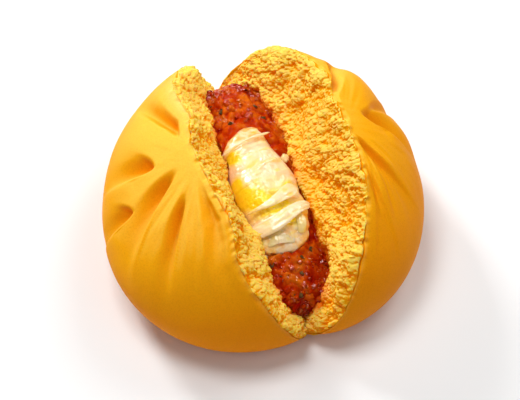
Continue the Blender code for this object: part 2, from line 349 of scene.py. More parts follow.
@dataclass(frozen=True)
class Lobe:
    """A soft swelling of the skin between folds.

    Attributes:
        side: -1 on the left half and 1 on the right.
        angle: Angle round the bun from +X, in degrees.
        reach: Distance from the crown in plan.
        length: Size along the radius.
        width: Size across it.
        height: Greatest height.
    """

    side: int
    angle: float
    reach: float
    length: float
    width: float
    height: float


LOBES = (
    Lobe(1, 44.0, 33.0, 15.0, 9.0, 2.2),
    Lobe(1, 8.0, 40.0, 11.0, 5.5, 0.9),
    Lobe(1, -12.0, 28.0, 16.0, 5.0, 0.8),
    Lobe(-1, 198.0, 45.0, 12.0, 18.0, 1.3),
    Lobe(-1, 138.0, 30.0, 14.0, 7.0, 0.8),
)


@dataclass
class BunForm:
    """The closed bun, how it is torn and opened, and where its filling lies.

    Attributes:
        radius: Radius of the closed bun's widest ring.
        height: Height of the closed bun.
        belly_height: Height of the widest ring.
        belly_axis: Half axis of the ellipse by which the side turns in below that ring.
        crown_power: Roundness of the dome.
        left: The left half.
        right: The right half.
        length_factor: Length of the opened bun along the tear compared with the closed one.
        hinge: Angle along the tear over which the halves part at each tip.
        stray_far: How far along +X the tear strays at its far end.
        stray_near: The same at its near end.
        far_turn: Angle along the tear at which the far stray sets in.
        near_turn: Angle at which the near stray has faded.
        turn_width: Softness of both.
        floor_height: Height of the valley's bottom line in its middle.
        floor_half_length: Half its length.
        floor_power: Bluntness of its ends.
        floor_rounding: Roundness of the valley's bottom.
        pleat_foot: Height share of the dome below which there are no pleats.
        pleat_full: Height share above which they are full.
        pleat_edge: Share of their depth that the pleats keep at the torn edge.
        edge_band: How far outwards the bumps of the torn edge reach.
        sauce_near: Angle along the tear of the sauce's near end.
        sauce_far: The same of its far end.
        sauce_fill: Largest share of the wall's height that the sauce covers.
        sauce_end_power: Bluntness of its ends.
        sauce_crown: Rise of its middle.
        dome: Angles from vertical and the closed profile's distances at them.
    """

    radius: float = 50.0
    height: float = 52.0
    belly_height: float = 15.2
    belly_axis: float = 32.2
    crown_power: float = 2.07
    left: Half = LEFT
    right: Half = RIGHT
    length_factor: float = 0.952
    hinge: float = math.radians(10.0)
    stray_far: float = -3.7
    stray_near: float = -1.5
    far_turn: float = math.radians(130.0)
    near_turn: float = math.radians(50.0)
    turn_width: float = math.radians(12.0)
    floor_height: float = 8.0
    floor_half_length: float = 41.5
    floor_power: float = 0.8
    floor_rounding: float = 0.28
    pleat_foot: float = 0.2
    pleat_full: float = 0.5
    pleat_edge: float = 0.35
    edge_band: float = 0.03
    sauce_near: float = math.radians(25.0)
    sauce_far: float = math.radians(159.0)
    sauce_fill: float = 0.66
    sauce_end_power: float = 2.2
    sauce_crown: float = 3.4
    dome: tuple = field(init=False)

    def __post_init__(self) -> None:
        """Work out the closed profile once."""
        self.dome = self.dome_table()

    def either(self, on_left: np.ndarray, shape: Callable[[Half], np.ndarray]) -> np.ndarray:
        """What a shape gives for the left half where on_left is true, and for the right half elsewhere."""
        left, right = shape(self.left), shape(self.right)
        return np.where(on_left[..., None] if left.ndim > on_left.ndim else on_left, left, right)

    def dome_table(self) -> tuple[np.ndarray, np.ndarray]:
        """Trace the closed profile: a superellipse above the widest ring and an ellipse below it.

        Returns:
            Angles from vertical, and distances from the middle of the base at those angles.
        """
        turn = np.linspace(0.0, math.pi / 2.0, 400)
        power = 2.0 / self.crown_power
        upper_r = self.radius * np.sin(turn) ** power
        upper_z = self.belly_height + (self.height - self.belly_height) * np.cos(turn) ** power
        lower_z = np.linspace(self.belly_height, 0.0, 120)[1:]
        drop = (self.belly_height - lower_z) / self.belly_axis
        lower_r = self.radius * np.sqrt(1.0 - drop ** 2)
        reach_r = np.concatenate([upper_r, lower_r])
        reach_z = np.concatenate([upper_z, lower_z])
        return np.arctan2(reach_r, reach_z), np.hypot(reach_r, reach_z)

    def pleat_depth(self, side: int, x: np.ndarray, y: np.ndarray) -> np.ndarray:
        """Depth of a half's pleats: a soft bell on one flank, a narrow bell on the other and a round nose.

        Fine radial wrinkles from noise lie between them, mostly on the near side, and fade towards the crown and
        the belly.

        Args:
            side: -1 for the left half and 1 for the right.
            x: X of points of the closed skin.
            y: Y of the same points.

        Returns:
            Depth below the plain dome, negative on the raised lips.
        """
        reach = np.hypot(x, y)
        angle = np.degrees(np.arctan2(y, x))
        depth = np.zeros_like(reach)
        for pleat in (pleat for pleat in PLEATS if pleat.side == side):
            along = (reach - pleat.start) / (pleat.end - pleat.start)
            bent = unit(along) ** pleat.bend
            centre = pleat.inner_angle + (pleat.outer_angle - pleat.inner_angle) * bent
            off = (angle - centre + 180.0) % 360.0 - 180.0
            across = reach * np.radians(off) * pleat.lip
            width = np.where(across < 0.0, pleat.soft * (0.75 + 0.5 * unit(along)), pleat.steep)
            bell = np.exp(-(across / width) ** 2)
            lip = np.exp(-((across - 2.2 * pleat.steep) / (1.6 * pleat.steep + 1.2)) ** 2)
            nose = along - 0.5 * pleat.onset * np.minimum((across / width) ** 2, 4.0)
            ramp = smooth_step(-0.02, pleat.onset, nose) * (1.0 - smooth_step(0.15, 1.0, along))
            depth += (pleat.depth * bell - pleat.rise * lip) * ramp
        for lobe in (lobe for lobe in LOBES if lobe.side == side):
            off = np.radians((angle - lobe.angle + 180.0) % 360.0 - 180.0)
            out, over = reach * np.cos(off) - lobe.reach, reach * np.sin(off)
            depth -= lobe.height * np.exp(-(out / lobe.length) ** 2 - (over / lobe.width) ** 2)
        turn = np.radians(angle)
        wheel = spot(6.5 * np.cos(turn), 6.5 * np.sin(turn), 0.05 * reach)
        wrinkle = 0.55 * value_noise(wheel, 1.0, 33 + side) + 0.3 * value_noise(2.2 * wheel, 1.0, 37 + side)
        wrinkle *= 1.0 - 0.85 * smooth_step(-14.0, 4.0, y)
        return depth + wrinkle * smooth_step(4.0, 18.0, reach) * (1.0 - smooth_step(28.0, 50.0, reach))

    def tear_stray(self, along: np.ndarray) -> np.ndarray:
        """How far the tear lies from the middle plane: one soft step at each end."""
        far = self.stray_far / (1.0 + np.exp(-(along - self.far_turn) / self.turn_width))
        near = self.stray_near / (1.0 + np.exp((along - self.near_turn) / self.turn_width))
        return far + near

    def edge_wander(self, half: Half, along: np.ndarray) -> np.ndarray:
        """How far along +X the torn edge of a half strays: named steps plus small waves."""
        angle, shift = np.array(half.wander, dtype=float).T
        line = spot(along * 30.0, 7.0 * half.side)
        calm = np.sqrt(unit(np.sin(along)))
        return np.interp(np.degrees(along), angle, shift) + 0.6 * calm * fractal_noise(line, 4.0, 3, 40 + half.side)

    def edge_bumps(self, half: Half, along: np.ndarray) -> np.ndarray:
        """How far the torn edge of a half stands above the smooth dome: two sizes of crumb lump along the tear."""
        line = spot(along * 47.0, 9.0 * half.side)
        bumps = 0.75 * value_noise(line, 2.6, 71 + half.side) + 0.5 * value_noise(line, 1.1, 75 + half.side)
        return (bumps - 0.3) * unit(np.sin(along)) ** 0.7

    def open_up(self, half: Half, x: np.ndarray, y: np.ndarray, z: np.ndarray, along: np.ndarray) -> np.ndarray:
        """Turn points of a closed half outwards about the middle of the base.

        The angle from vertical is squeezed from 0..90 degrees into lean..90 degrees.

        Args:
            half: The half the points belong to.
            x: X in the closed bun.
            y: Y in the closed bun.
            z: Z in the closed bun.
            along: Angle along the tear, 0 at the near end and pi at the far end.

        Returns:
            Points of the opened bun.
        """
        tip = unit(np.minimum(along, math.pi - along) / self.hinge)
        lean = half.lean * tip * tip * (3.0 - 2.0 * tip)
        out = half.side * x * half.squeeze
        angle = np.arctan2(out, z)
        reach = np.hypot(out, z)
        turned = lean + angle * (1.0 - lean / (math.pi / 2.0))
        belly = np.sin(math.pi * unit(2.0 * angle / math.pi))
        reach = reach * (1.0 + half.swell * belly)
        shift = reach * np.sin(turned)
        return spot(half.side * shift, y * self.length_factor + half.drag * np.abs(shift), reach * np.cos(turned))

    def skin(self, half: Half, along: np.ndarray, outward: np.ndarray, bumpy: bool = True) -> np.ndarray:
        """A point of the opened skin.

        Args:
            half: Left or right half.
            along: Angle along the tear.
            outward: 0 at the torn edge and 1 at the side of the base.
            bumpy: Whether the torn edge has its crumb lumps.

        Returns:
            Points of the skin with its pleats.
        """
        turn = outward * math.pi / 2.0
        dir_x = half.side * np.sin(turn)
        dir_y = -np.cos(turn) * np.cos(along)
        dir_z = np.cos(turn) * np.sin(along)
        reach = np.interp(np.arccos(np.clip(dir_z, -1.0, 1.0)), *self.dome)
        sink = self.pleat_depth(half.side, reach * dir_x, reach * dir_y)
        sink = sink * (self.pleat_edge + (1.0 - self.pleat_edge) * smooth_step(0.0, 0.07, outward))
        reach = reach - sink * smooth_step(self.pleat_foot, self.pleat_full, dir_z)
        if bumpy:
            reach = reach + self.edge_bumps(half, along) * (1.0 - smooth_step(0.0, self.edge_band, outward))
        point = self.open_up(half, reach * dir_x, reach * dir_y, reach * dir_z, along)
        point[..., 0] += self.tear_stray(along) * np.cos(turn) ** 2
        point[..., 0] += self.edge_wander(half, along) * (1.0 - smooth_step(0.0, 0.22, outward))
        return point

    def floor(self, along: np.ndarray) -> np.ndarray:
        """The bottom line of the valley: a flat sine arch from tip to tip."""
        y = -self.floor_half_length * np.cos(along)
        z = self.floor_height * unit(np.sin(along)) ** self.floor_power
        return spot(self.tear_stray(along), y, z)

    def lift(self, across: np.ndarray) -> np.ndarray:
        """Height share between floor (0) and torn edge (1): a hyperbola, which is a rounded V."""
        full = math.hypot(1.0, self.floor_rounding) - self.floor_rounding
        return (np.hypot(across, self.floor_rounding) - self.floor_rounding) / full

    def reach_of_lift(self, lift: np.ndarray) -> np.ndarray:
        """Inverse of lift: how far across a height share lies."""
        full = math.hypot(1.0, self.floor_rounding) - self.floor_rounding
        return np.sqrt((lift * full + self.floor_rounding) ** 2 - self.floor_rounding ** 2)

    def valley(self, along: np.ndarray, across: np.ndarray) -> np.ndarray:
        """A point of the smooth valley between the torn edges, whose lumps only move its top quarter.

        Args:
            along: Angle along the tear.
            across: -1 at the left torn edge, 0 at the floor and 1 at the right torn edge.

        Returns:
            Points between the floor line and the torn edges.
        """
        zero = np.zeros_like(along)
        on_left = across < 0.0
        edge = self.either(on_left, lambda half: self.skin(half, along, zero, False))
        rim = self.either(on_left, lambda half: self.skin(half, along, zero))
        wander = self.either(on_left, lambda half: self.edge_wander(half, along))
        floor = self.floor(along)
        share = np.abs(across)
        point = floor + (edge - floor) * share[..., None]
        point[..., 0] -= wander * share * (1.0 - share)
        point[..., 2] = floor[..., 2] + (edge[..., 2] - floor[..., 2]) * self.lift(share)
        return point + (rim - edge) * smooth_step(0.75, 1.0, share)[..., None]

    def sauce_edge(self, half: Half, along: np.ndarray) -> np.ndarray:
        """How far across the valley the sauce reaches on one side.

        Args:
            half: Left or right half.
            along: Angle along the tear.

        Returns:
            Values of across, 0 to 1.
        """
        floor = self.floor(along)[..., 2]
        rim = self.skin(half, along, np.zeros_like(along), False)[..., 2]
        level = np.minimum(half.level, floor + self.sauce_fill * (rim - floor))
        share = np.clip((2.0 * along - self.sauce_near - self.sauce_far) / (self.sauce_far - self.sauce_near), -1, 1)
        ends = np.sqrt(unit(1.0 - np.abs(share) ** self.sauce_end_power))
        lift = (level - floor) / np.maximum(rim - floor, 0.1) * ends
        return self.reach_of_lift(np.clip(lift, 0.0, 0.9))

    def row_of(self, share: np.ndarray) -> np.ndarray:
        """Angle along the tear of a place along the sauce, -1 at its near end and 1 at its far end."""
        return self.sauce_near + (self.sauce_far - self.sauce_near) * (share + 1.0) / 2.0

    def lid(self, share: np.ndarray, across: np.ndarray) -> np.ndarray:
        """A point of the smooth top of the sauce.

        Args:
            share: -1 at the near end and 1 at the far end.
            across: -1 at the left wall and 1 at the right wall.

        Returns:
            Points on a low vault between the two walls.
        """
        along = self.row_of(share)
        left = self.valley(along, -self.sauce_edge(self.left, along))
        right = self.valley(along, self.sauce_edge(self.right, along))
        point = left + (right - left) * ((across + 1.0) / 2.0)[..., None]
        vault = self.sauce_crown * np.sqrt(unit(1.0 - share ** 2))
        point[..., 2] += vault * unit(1.0 - across ** 2)
        return point


# ---------- Meshes ----------
@dataclass
class MeshMaker:
    """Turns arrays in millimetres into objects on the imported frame.

    Attributes:
        shift: Where the middle of the closed bun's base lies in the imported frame, in metres.
    """

    shift: np.ndarray = field(default_factory=lambda: np.array(FORM_IN_FRAME) * MM)

    def make(
        self,
        name: str,
        points: np.ndarray,
        faces: np.ndarray,
        attributes: dict[str, np.ndarray],
        materials: tuple[bpy.types.Material, ...],
        slot: str,
        replaces: tuple[str, ...] = (),
        choice: np.ndarray | None = None,
    ) -> bpy.types.Object:
        """Make one smooth-shaded piece, without the points that no face uses.

        Args:
            name: Name of the piece.
            points: Vertex positions in millimetres.
            faces: Rows of four vertex indices; a repeated last index means a triangle.
            attributes: Numbers per vertex by name, for the material to read.
            materials: The finishes.
            slot: Name of a material slot; not used.
            replaces: Nodes that this piece stands for.
            choice: Which finish each face has, if there is more than one.

        Returns:
            The new object.
        """
        mesh = bpy.data.meshes.new(name)
        used, packed = np.unique(faces, return_inverse=True)
        points, faces = points.reshape(-1, 3)[used], packed.reshape(faces.shape)
        triangle = faces[:, 2] == faces[:, 3]
        sizes = np.where(triangle, 3, 4)
        keep = np.ones(faces.shape, dtype=bool)
        keep[triangle, 3] = False
        loops = faces[keep]
        starts = np.concatenate([[0], np.cumsum(sizes)[:-1]])
        mesh.vertices.add(len(points))
        mesh.vertices.foreach_set("co", (points * MM + self.shift).astype(np.float32).ravel())
        mesh.loops.add(len(loops))
        mesh.loops.foreach_set("vertex_index", loops.astype(np.int32))
        mesh.polygons.add(len(faces))
        mesh.polygons.foreach_set("loop_start", starts.astype(np.int32))
        if choice is not None:
            mesh.polygons.foreach_set("material_index", choice.astype(np.int32))
        mesh.update(calc_edges=True)
        mesh.validate()
        mesh.shade_smooth()
        for key, values in attributes.items():
            layer = mesh.attributes.new(key, "FLOAT", "POINT")
            layer.data.foreach_set("value", values.ravel()[used].astype(np.float32))
        for material in materials:
            mesh.materials.append(material)
        piece = bpy.data.objects.new(name, mesh)
        bpy.context.scene.collection.objects.link(piece)
        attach(piece, "root")
        if replaces:
            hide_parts(*replaces)
        LOG.info("%s: %d triangles", name, int(np.sum(sizes - 2)))
        return piece


def grid_faces(index: np.ndarray) -> np.ndarray:
    """Quads of a grid of vertex indices; quads that have collapsed to a line are dropped.

    Args:
        index: Vertex indices in rows and columns, with welded vertices sharing an index.

    Returns:
        Rows of four indices, in the order that faces outwards when row x column points outwards.
    """
    a, b = index[:-1, :-1].ravel(), index[1:, :-1].ravel()
    c, d = index[1:, 1:].ravel(), index[:-1, 1:].ravel()
    quads = np.stack([a, b, c, d], axis=1)
    same = quads == np.roll(quads, -1, axis=1)
    quads = quads[same.sum(axis=1) < 2]
    same = quads == np.roll(quads, -1, axis=1)
    for corner in range(4):
        rows = same[:, corner]
        quads[rows] = np.roll(quads[rows], -corner - 1, axis=1)
        same[rows] = False
        last = quads[rows]
        last[:, 3] = last[:, 2]
        quads[rows] = last
    return quads


def grid_normals(points: np.ndarray) -> np.ndarray:
    """Unit normals of a grid: the cross product of its column and row differences."""
    down = np.gradient(points, axis=0)
    over = np.gradient(points, axis=1)
    normal = np.cross(over, down)
    return normal / np.maximum(np.linalg.norm(normal, axis=-1, keepdims=True), 1e-9)


def pillow(top: np.ndarray, bottom: np.ndarray) -> tuple[np.ndarray, np.ndarray]:
    """Close two grids of the same size into one body that shares the rim of the top grid.

    Args:
        top: Grid of points seen from above, rows along +Y and columns along +X.
        bottom: The underside in the same order.

    Returns:
        Vertices and faces.
    """
    rows, columns = top.shape[:2]
    upper = np.arange(rows * columns).reshape(rows, columns)
    lower = upper.copy()
    inner = np.arange((rows - 2) * (columns - 2)).reshape(rows - 2, columns - 2)
    lower[1:-1, 1:-1] = rows * columns + inner
    points = np.concatenate([top.reshape(-1, 3), bottom[1:-1, 1:-1].reshape(-1, 3)])
    return points, np.concatenate([grid_faces(upper[:, ::-1]), grid_faces(lower)])


def blob_template(rings: int, sides: int) -> tuple[np.ndarray, np.ndarray]:
    """A unit ball of rings and sides with single vertices at its poles.

    Args:
        rings: Faces from pole to pole.
        sides: Faces round the ball.

    Returns:
        Vertices and faces.
    """
    polar = np.linspace(0.0, math.pi, rings + 1)[1:-1]
    around = np.arange(sides) * 2.0 * math.pi / sides
    polar, around = np.meshgrid(polar, around, indexing="ij")
    ring = spot(np.sin(polar) * np.cos(around), np.sin(polar) * np.sin(around), np.cos(polar))
    points = np.concatenate([[[0.0, 0.0, 1.0]], ring.reshape(-1, 3), [[0.0, 0.0, -1.0]]])
    index = 1 + np.arange((rings - 1) * sides).reshape(rings - 1, sides)
    index = np.concatenate([index, index[:, :1]], axis=1)
    full = np.concatenate([np.zeros((1, sides + 1), int), index, np.full((1, sides + 1), len(points) - 1)])
    return points, grid_faces(full)


def scatter_blobs(
    centres: np.ndarray,
    sizes: np.ndarray,
    turns: np.random.Generator,
    rings: int,
    sides: int,
    roughness: float,
    flatness: float,
) -> tuple[np.ndarray, np.ndarray, np.ndarray]:
    """Copy a rough ball to many places, each turned and stretched its own way.

    Args:
        centres: Where the balls go.
        sizes: Their radii.
        turns: Random numbers for turning and stretching.
        rings: Faces from pole to pole of one ball.
        sides: Faces round one ball.
        roughness: How far the surface strays from round.
        flatness: How strongly the balls are stretched.

    Returns:
        Vertices, faces and the number of the ball that each vertex belongs to.
    """
    shape, faces = blob_template(rings, sides)
    count = len(centres)
    basis = np.linalg.qr(turns.normal(size=(count, 3, 3)))[0]
    basis *= np.sign(np.linalg.det(basis))[:, None, None]
    stretch = np.exp(flatness * turns.normal(size=(count, 1, 3)))
    seat = shape[None] * stretch
    offset = turns.uniform(0.0, 900.0, size=(count, 1, 3))
    bumps = fractal_noise(shape[None] * 1.6 + offset, 1.0, 2, 77, 0.6)
    seat = seat * (1.0 + roughness * bumps[..., None])
    placed = np.einsum("nij,nkj->nki", basis, seat) * sizes[:, None, None] + centres[:, None]
    starts = np.arange(count)[:, None, None] * len(shape)
    owner = np.repeat(np.arange(count), len(shape))
    return placed.reshape(-1, 3), (faces[None] + starts).reshape(-1, 4), owner


# ---------- Finishes ----------
class Joining(Enum):
    """How a node joins two numbers or two colours."""

    BLEND = "MIX"
    ADD = "ADD"
    MULTIPLY = "MULTIPLY"


class NodeTree:
    """Small helper that adds shader nodes and links them."""

    def __init__(self, name: str) -> None:
        """Start a material with an empty node tree and a Principled shader."""
        self.material = bpy.data.materials.new(name)
        self.material.use_nodes = True
        self.nodes = self.material.node_tree.nodes
        self.links = self.material.node_tree.links
        self.shader = self.nodes["Principled BSDF"]
        self.object_coords = self.nodes.new("ShaderNodeTexCoord").outputs["Object"]

    def feed(self, socket: bpy.types.NodeSocket, value: Feed) -> None:
        """Give an input a socket to read, an RGB triple or a plain number."""
        if isinstance(value, bpy.types.NodeSocket):
            self.links.new(value, socket)
        else:
            socket.default_value = (*value, 1.0) if isinstance(value, tuple) else value

    def attribute(self, name: str) -> bpy.types.NodeSocket:
        """Read a number stored on the mesh."""
        node = self.nodes.new("ShaderNodeAttribute")
        node.attribute_name = name
        return node.outputs["Fac"]

    def noise(self, size: float, detail: float = 4.0, rough: float = 0.55) -> bpy.types.NodeSocket:
        """Noise with features of about the given size in millimetres."""
        node = self.nodes.new("ShaderNodeTexNoise")
        node.inputs["Scale"].default_value = 1.0 / (size * MM)
        node.inputs["Detail"].default_value = detail
        node.inputs["Roughness"].default_value = rough
        self.feed(node.inputs["Vector"], self.object_coords)
        return node.outputs["Fac"]

    def ramp(self, source: bpy.types.NodeSocket, stops: list[tuple[float, tuple]]) -> bpy.types.NodeSocket:
        """Colour ramp through (position, colour) stops."""
        node = self.nodes.new("ShaderNodeValToRGB")
        ramp = node.color_ramp
        for number, (place, colour) in enumerate(stops):
            stop = ramp.elements[number] if number < 2 else ramp.elements.new(place)
            stop.position = place
            stop.color = (*colour, 1.0)
        self.feed(node.inputs["Fac"], source)
        return node.outputs["Color"]

    def math(self, kind: Joining, first: Feed, second: Feed, clamp: bool = False) -> bpy.types.NodeSocket:
        """One arithmetic step on sockets or plain numbers."""
        node = self.nodes.new("ShaderNodeMath")
        node.operation = kind.value
        node.use_clamp = clamp
        self.feed(node.inputs[0], first)
        self.feed(node.inputs[1], second)
        return node.outputs["Value"]

    def add(self, first: Feed, second: Feed, share: float = 1.0, clamp: bool = False) -> bpy.types.NodeSocket:
        """The first number plus a share of the second."""
        return self.math(Joining.ADD, first, self.math(Joining.MULTIPLY, second, share), clamp)

    def mix(self, factor: Feed, first: Feed, second: Feed, kind: Joining = Joining.BLEND) -> bpy.types.NodeSocket:
        """Join two colours, given as sockets or as RGB triples."""
        node = self.nodes.new("ShaderNodeMix")
        node.data_type = "RGBA"
        node.blend_type = kind.value
        for number, value in ((0, factor), (6, first), (7, second)):
            self.feed(node.inputs[number], value)
        return node.outputs[2]

    def bump(self, height: bpy.types.NodeSocket, distance: float, strength: float) -> None:
        """Bend the shading normal by a height; distance is in millimetres."""
        node = self.nodes.new("ShaderNodeBump")
        node.inputs["Strength"].default_value = strength
        node.inputs["Distance"].default_value = distance * MM
        self.feed(node.inputs["Height"], height)
        self.feed(self.shader.inputs["Normal"], node.outputs["Normal"])

    def dress(self, colour: bpy.types.NodeSocket, roughness: float, shine: float) -> bpy.types.Material:
        """Give the shader its colour, roughness and specular level, and return the material."""
        for name, value in (("Base Color", colour), ("Roughness", roughness), ("Specular IOR Level", shine)):
            self.feed(self.shader.inputs[name], value)
        return self.material

    def scatter(self, weight: float, radius: tuple, scale: float) -> None:
        """Let light through: weight, colour balance and depth in millimetres."""
        for name, value in (("Weight", weight), ("Radius", radius), ("Scale", scale * MM)):
            self.shader.inputs["Subsurface " + name].default_value = value


@dataclass(frozen=True)
class SkinFinish:
    """Steamed skin: satin; painted light golden facing the light and up high, painted shade deeper orange below."""

    # high is a painted sheen; light and deep are the painted lit and shaded skin.
    high: tuple = (0.99, 0.54, 0.055)
    light: tuple = (0.945, 0.40, 0.005)
    deep: tuple = (0.86, 0.225, 0.0)
    # shaded is the painted shade laid into the pleats.
    shaded: tuple = (0.72, 0.215, 0.0)
    # pale is the colour of the pale torn edge and of the painted highlight beside it.
    pale: tuple = (1.0, 0.70, 0.22)
    roughness: float = 0.5
    shine: float = 0.02

    def build(self) -> bpy.types.Material:
        """Blend the painted light tones, painted pleat shade and pale edge with its painted highlight by the numbers
        on the mesh.
        """
        tree = NodeTree("bun_skin")
        # Painted light and shade from the stored facing and height, plus a slow random tone.
        painted_light_tone = tree.add(tree.attribute("painted_light_tone"), tree.noise(22.0, 2.0), 0.16, True)
        plain = tree.ramp(painted_light_tone, [(0.0, self.deep), (0.78, self.light), (1.0, self.high)])
        # Painted shade in the pleats, by their stored depth.
        folded = tree.mix(tree.math(Joining.MULTIPLY, tree.attribute("fold"), 0.45), plain, self.shaded)
        # Pale torn edge, partly the skin's own and partly painted highlight.
        rimmed = tree.mix(tree.attribute("pale"), folded, self.pale)
        pores = tree.ramp(tree.noise(0.45, 2.0), [(0.3, (0.92, 0.89, 0.85)), (0.55, (1.0, 1.0, 1.0))])
        tree.bump(tree.noise(0.8, 4.0, 0.6), 0.14, 0.6)
        tree.scatter(0.2, (1.0, 0.35, 0.04), 1.2)
        return tree.dress(tree.mix(1.0, rimmed, pores, Joining.MULTIPLY), self.roughness, self.shine)


@dataclass(frozen=True)
class CrumbFinish:
    """Open crumb: pale yellow grains where painted light falls, painted shade saturated orange in the pores,
    red-stained beside the sauce.
    """

    light: tuple = (1.0, 0.65, 0.11)
    mid: tuple = (1.0, 0.41, 0.002)
    deep: tuple = (1.0, 0.25, 0.0)
    stain: tuple = (0.80, 0.12, 0.0)
    roughness: float = 0.55
    shine: float = 0.05

    def build(self) -> bpy.types.Material:
        """Colour by the painted light and shade stored on the mesh and by the stain."""
        tree = NodeTree("bun_crumb")
        painted_light_and_tone = tree.add(tree.attribute("painted_light_and_tone"), tree.noise(0.9, 3.0), 0.24)
        inside = tree.ramp(painted_light_and_tone, [(0.10, self.deep), (0.46, self.mid), (0.88, self.light)])
        stain = tree.attribute("stain")
        blotch = tree.math(Joining.MULTIPLY, tree.noise(2.2, 3.0), stain)
        reddened = tree.add(tree.math(Joining.MULTIPLY, stain, 0.7), blotch, 0.5, True)
        tree.bump(tree.noise(0.45, 3.0, 0.6), 0.12, 0.5)
        tree.scatter(0.75, (1.0, 0.45, 0.05), 0.9)
        return tree.dress(tree.mix(reddened, inside, self.stain), self.roughness, self.shine)


@dataclass(frozen=True)
class SauceFinish:
    """Tomato sauce: wet, painted shade deep red in the clefts and painted light orange-red on the lumps."""

    deep: tuple = (0.28, 0.002, 0.0)
    mid: tuple = (0.44, 0.028, 0.0)
    light: tuple = (0.66, 0.165, 0.006)
    name: str = "tomato_sauce"
    roughness: float = 0.12
    shine: float = 0.05

    def build(self) -> bpy.types.Material:
        """Colour by the bed's stored painted light and shade, a random tone on bits and beads, and by blotches."""
        tree = NodeTree(self.name)
        # Painted light on the bed's lumps and painted shade in its clefts; a random tone on bits and beads.
        height = tree.math(Joining.MULTIPLY, tree.attribute("painted_light_and_tone"), 0.3)
        blend = tree.add(height, tree.noise(6.0, 3.0), 0.8)
        tree.bump(tree.noise(0.7, 4.0, 0.6), 0.2, 0.6)
        tree.scatter(0.15, (1.0, 0.10, 0.01), 0.8)
        colour = tree.ramp(blend, [(0.36, self.deep), (0.54, self.mid), (0.8, self.light)])
        return tree.dress(colour, self.roughness, self.shine)


@dataclass(frozen=True)
class CheeseFinish:
    """Melted cheese: glossy cream with pools of clear yellow, and yellow painted shade in the creases under the
    ribbons.
    """

    cream: tuple = (0.90, 0.65, 0.10)
    pale: tuple = (0.90, 0.74, 0.45)
    yellow: tuple = (0.90, 0.71, 0.016)
    amber: tuple = (0.88, 0.42, 0.02)
    roughness: float = 0.15
    shine: float = 0.35
    coat: float = 0.7
    coat_roughness: float = 0.06

    def build(self) -> bpy.types.Material:
        """Blend cream and yellow by the numbers stored on the mesh."""
        tree = NodeTree("melted_cheese")
        blend = tree.add(tree.attribute("fibre"), tree.noise(2.2, 4.0), 0.7)
        pale = tree.ramp(blend, [(0.35, self.cream), (0.95, self.pale)])
        plain = tree.mix(tree.attribute("pool_and_crease_shade"), pale, self.yellow)
        tree.bump(tree.noise(1.4, 3.0, 0.5), 0.45, 0.7)
        tree.scatter(0.6, (1.0, 0.9, 0.5), 2.0)
        tree.shader.inputs["Coat Weight"].default_value = self.coat
        tree.shader.inputs["Coat Roughness"].default_value = self.coat_roughness
        return tree.dress(tree.mix(tree.attribute("tint"), plain, self.amber), self.roughness, self.shine)


@dataclass(frozen=True)
class HerbFinish:
    """Dried herb: dark green to brown flakes."""

    green: tuple = (0.035, 0.045, 0.012)
    brown: tuple = (0.16, 0.06, 0.015)
    roughness: float = 0.4
    shine: float = 0.15

    def build(self) -> bpy.types.Material:
        """Mottle green and brown."""
        tree = NodeTree("dried_herb")
        return tree.dress(tree.mix(tree.noise(1.5), self.green, self.brown), self.roughness, self.shine)


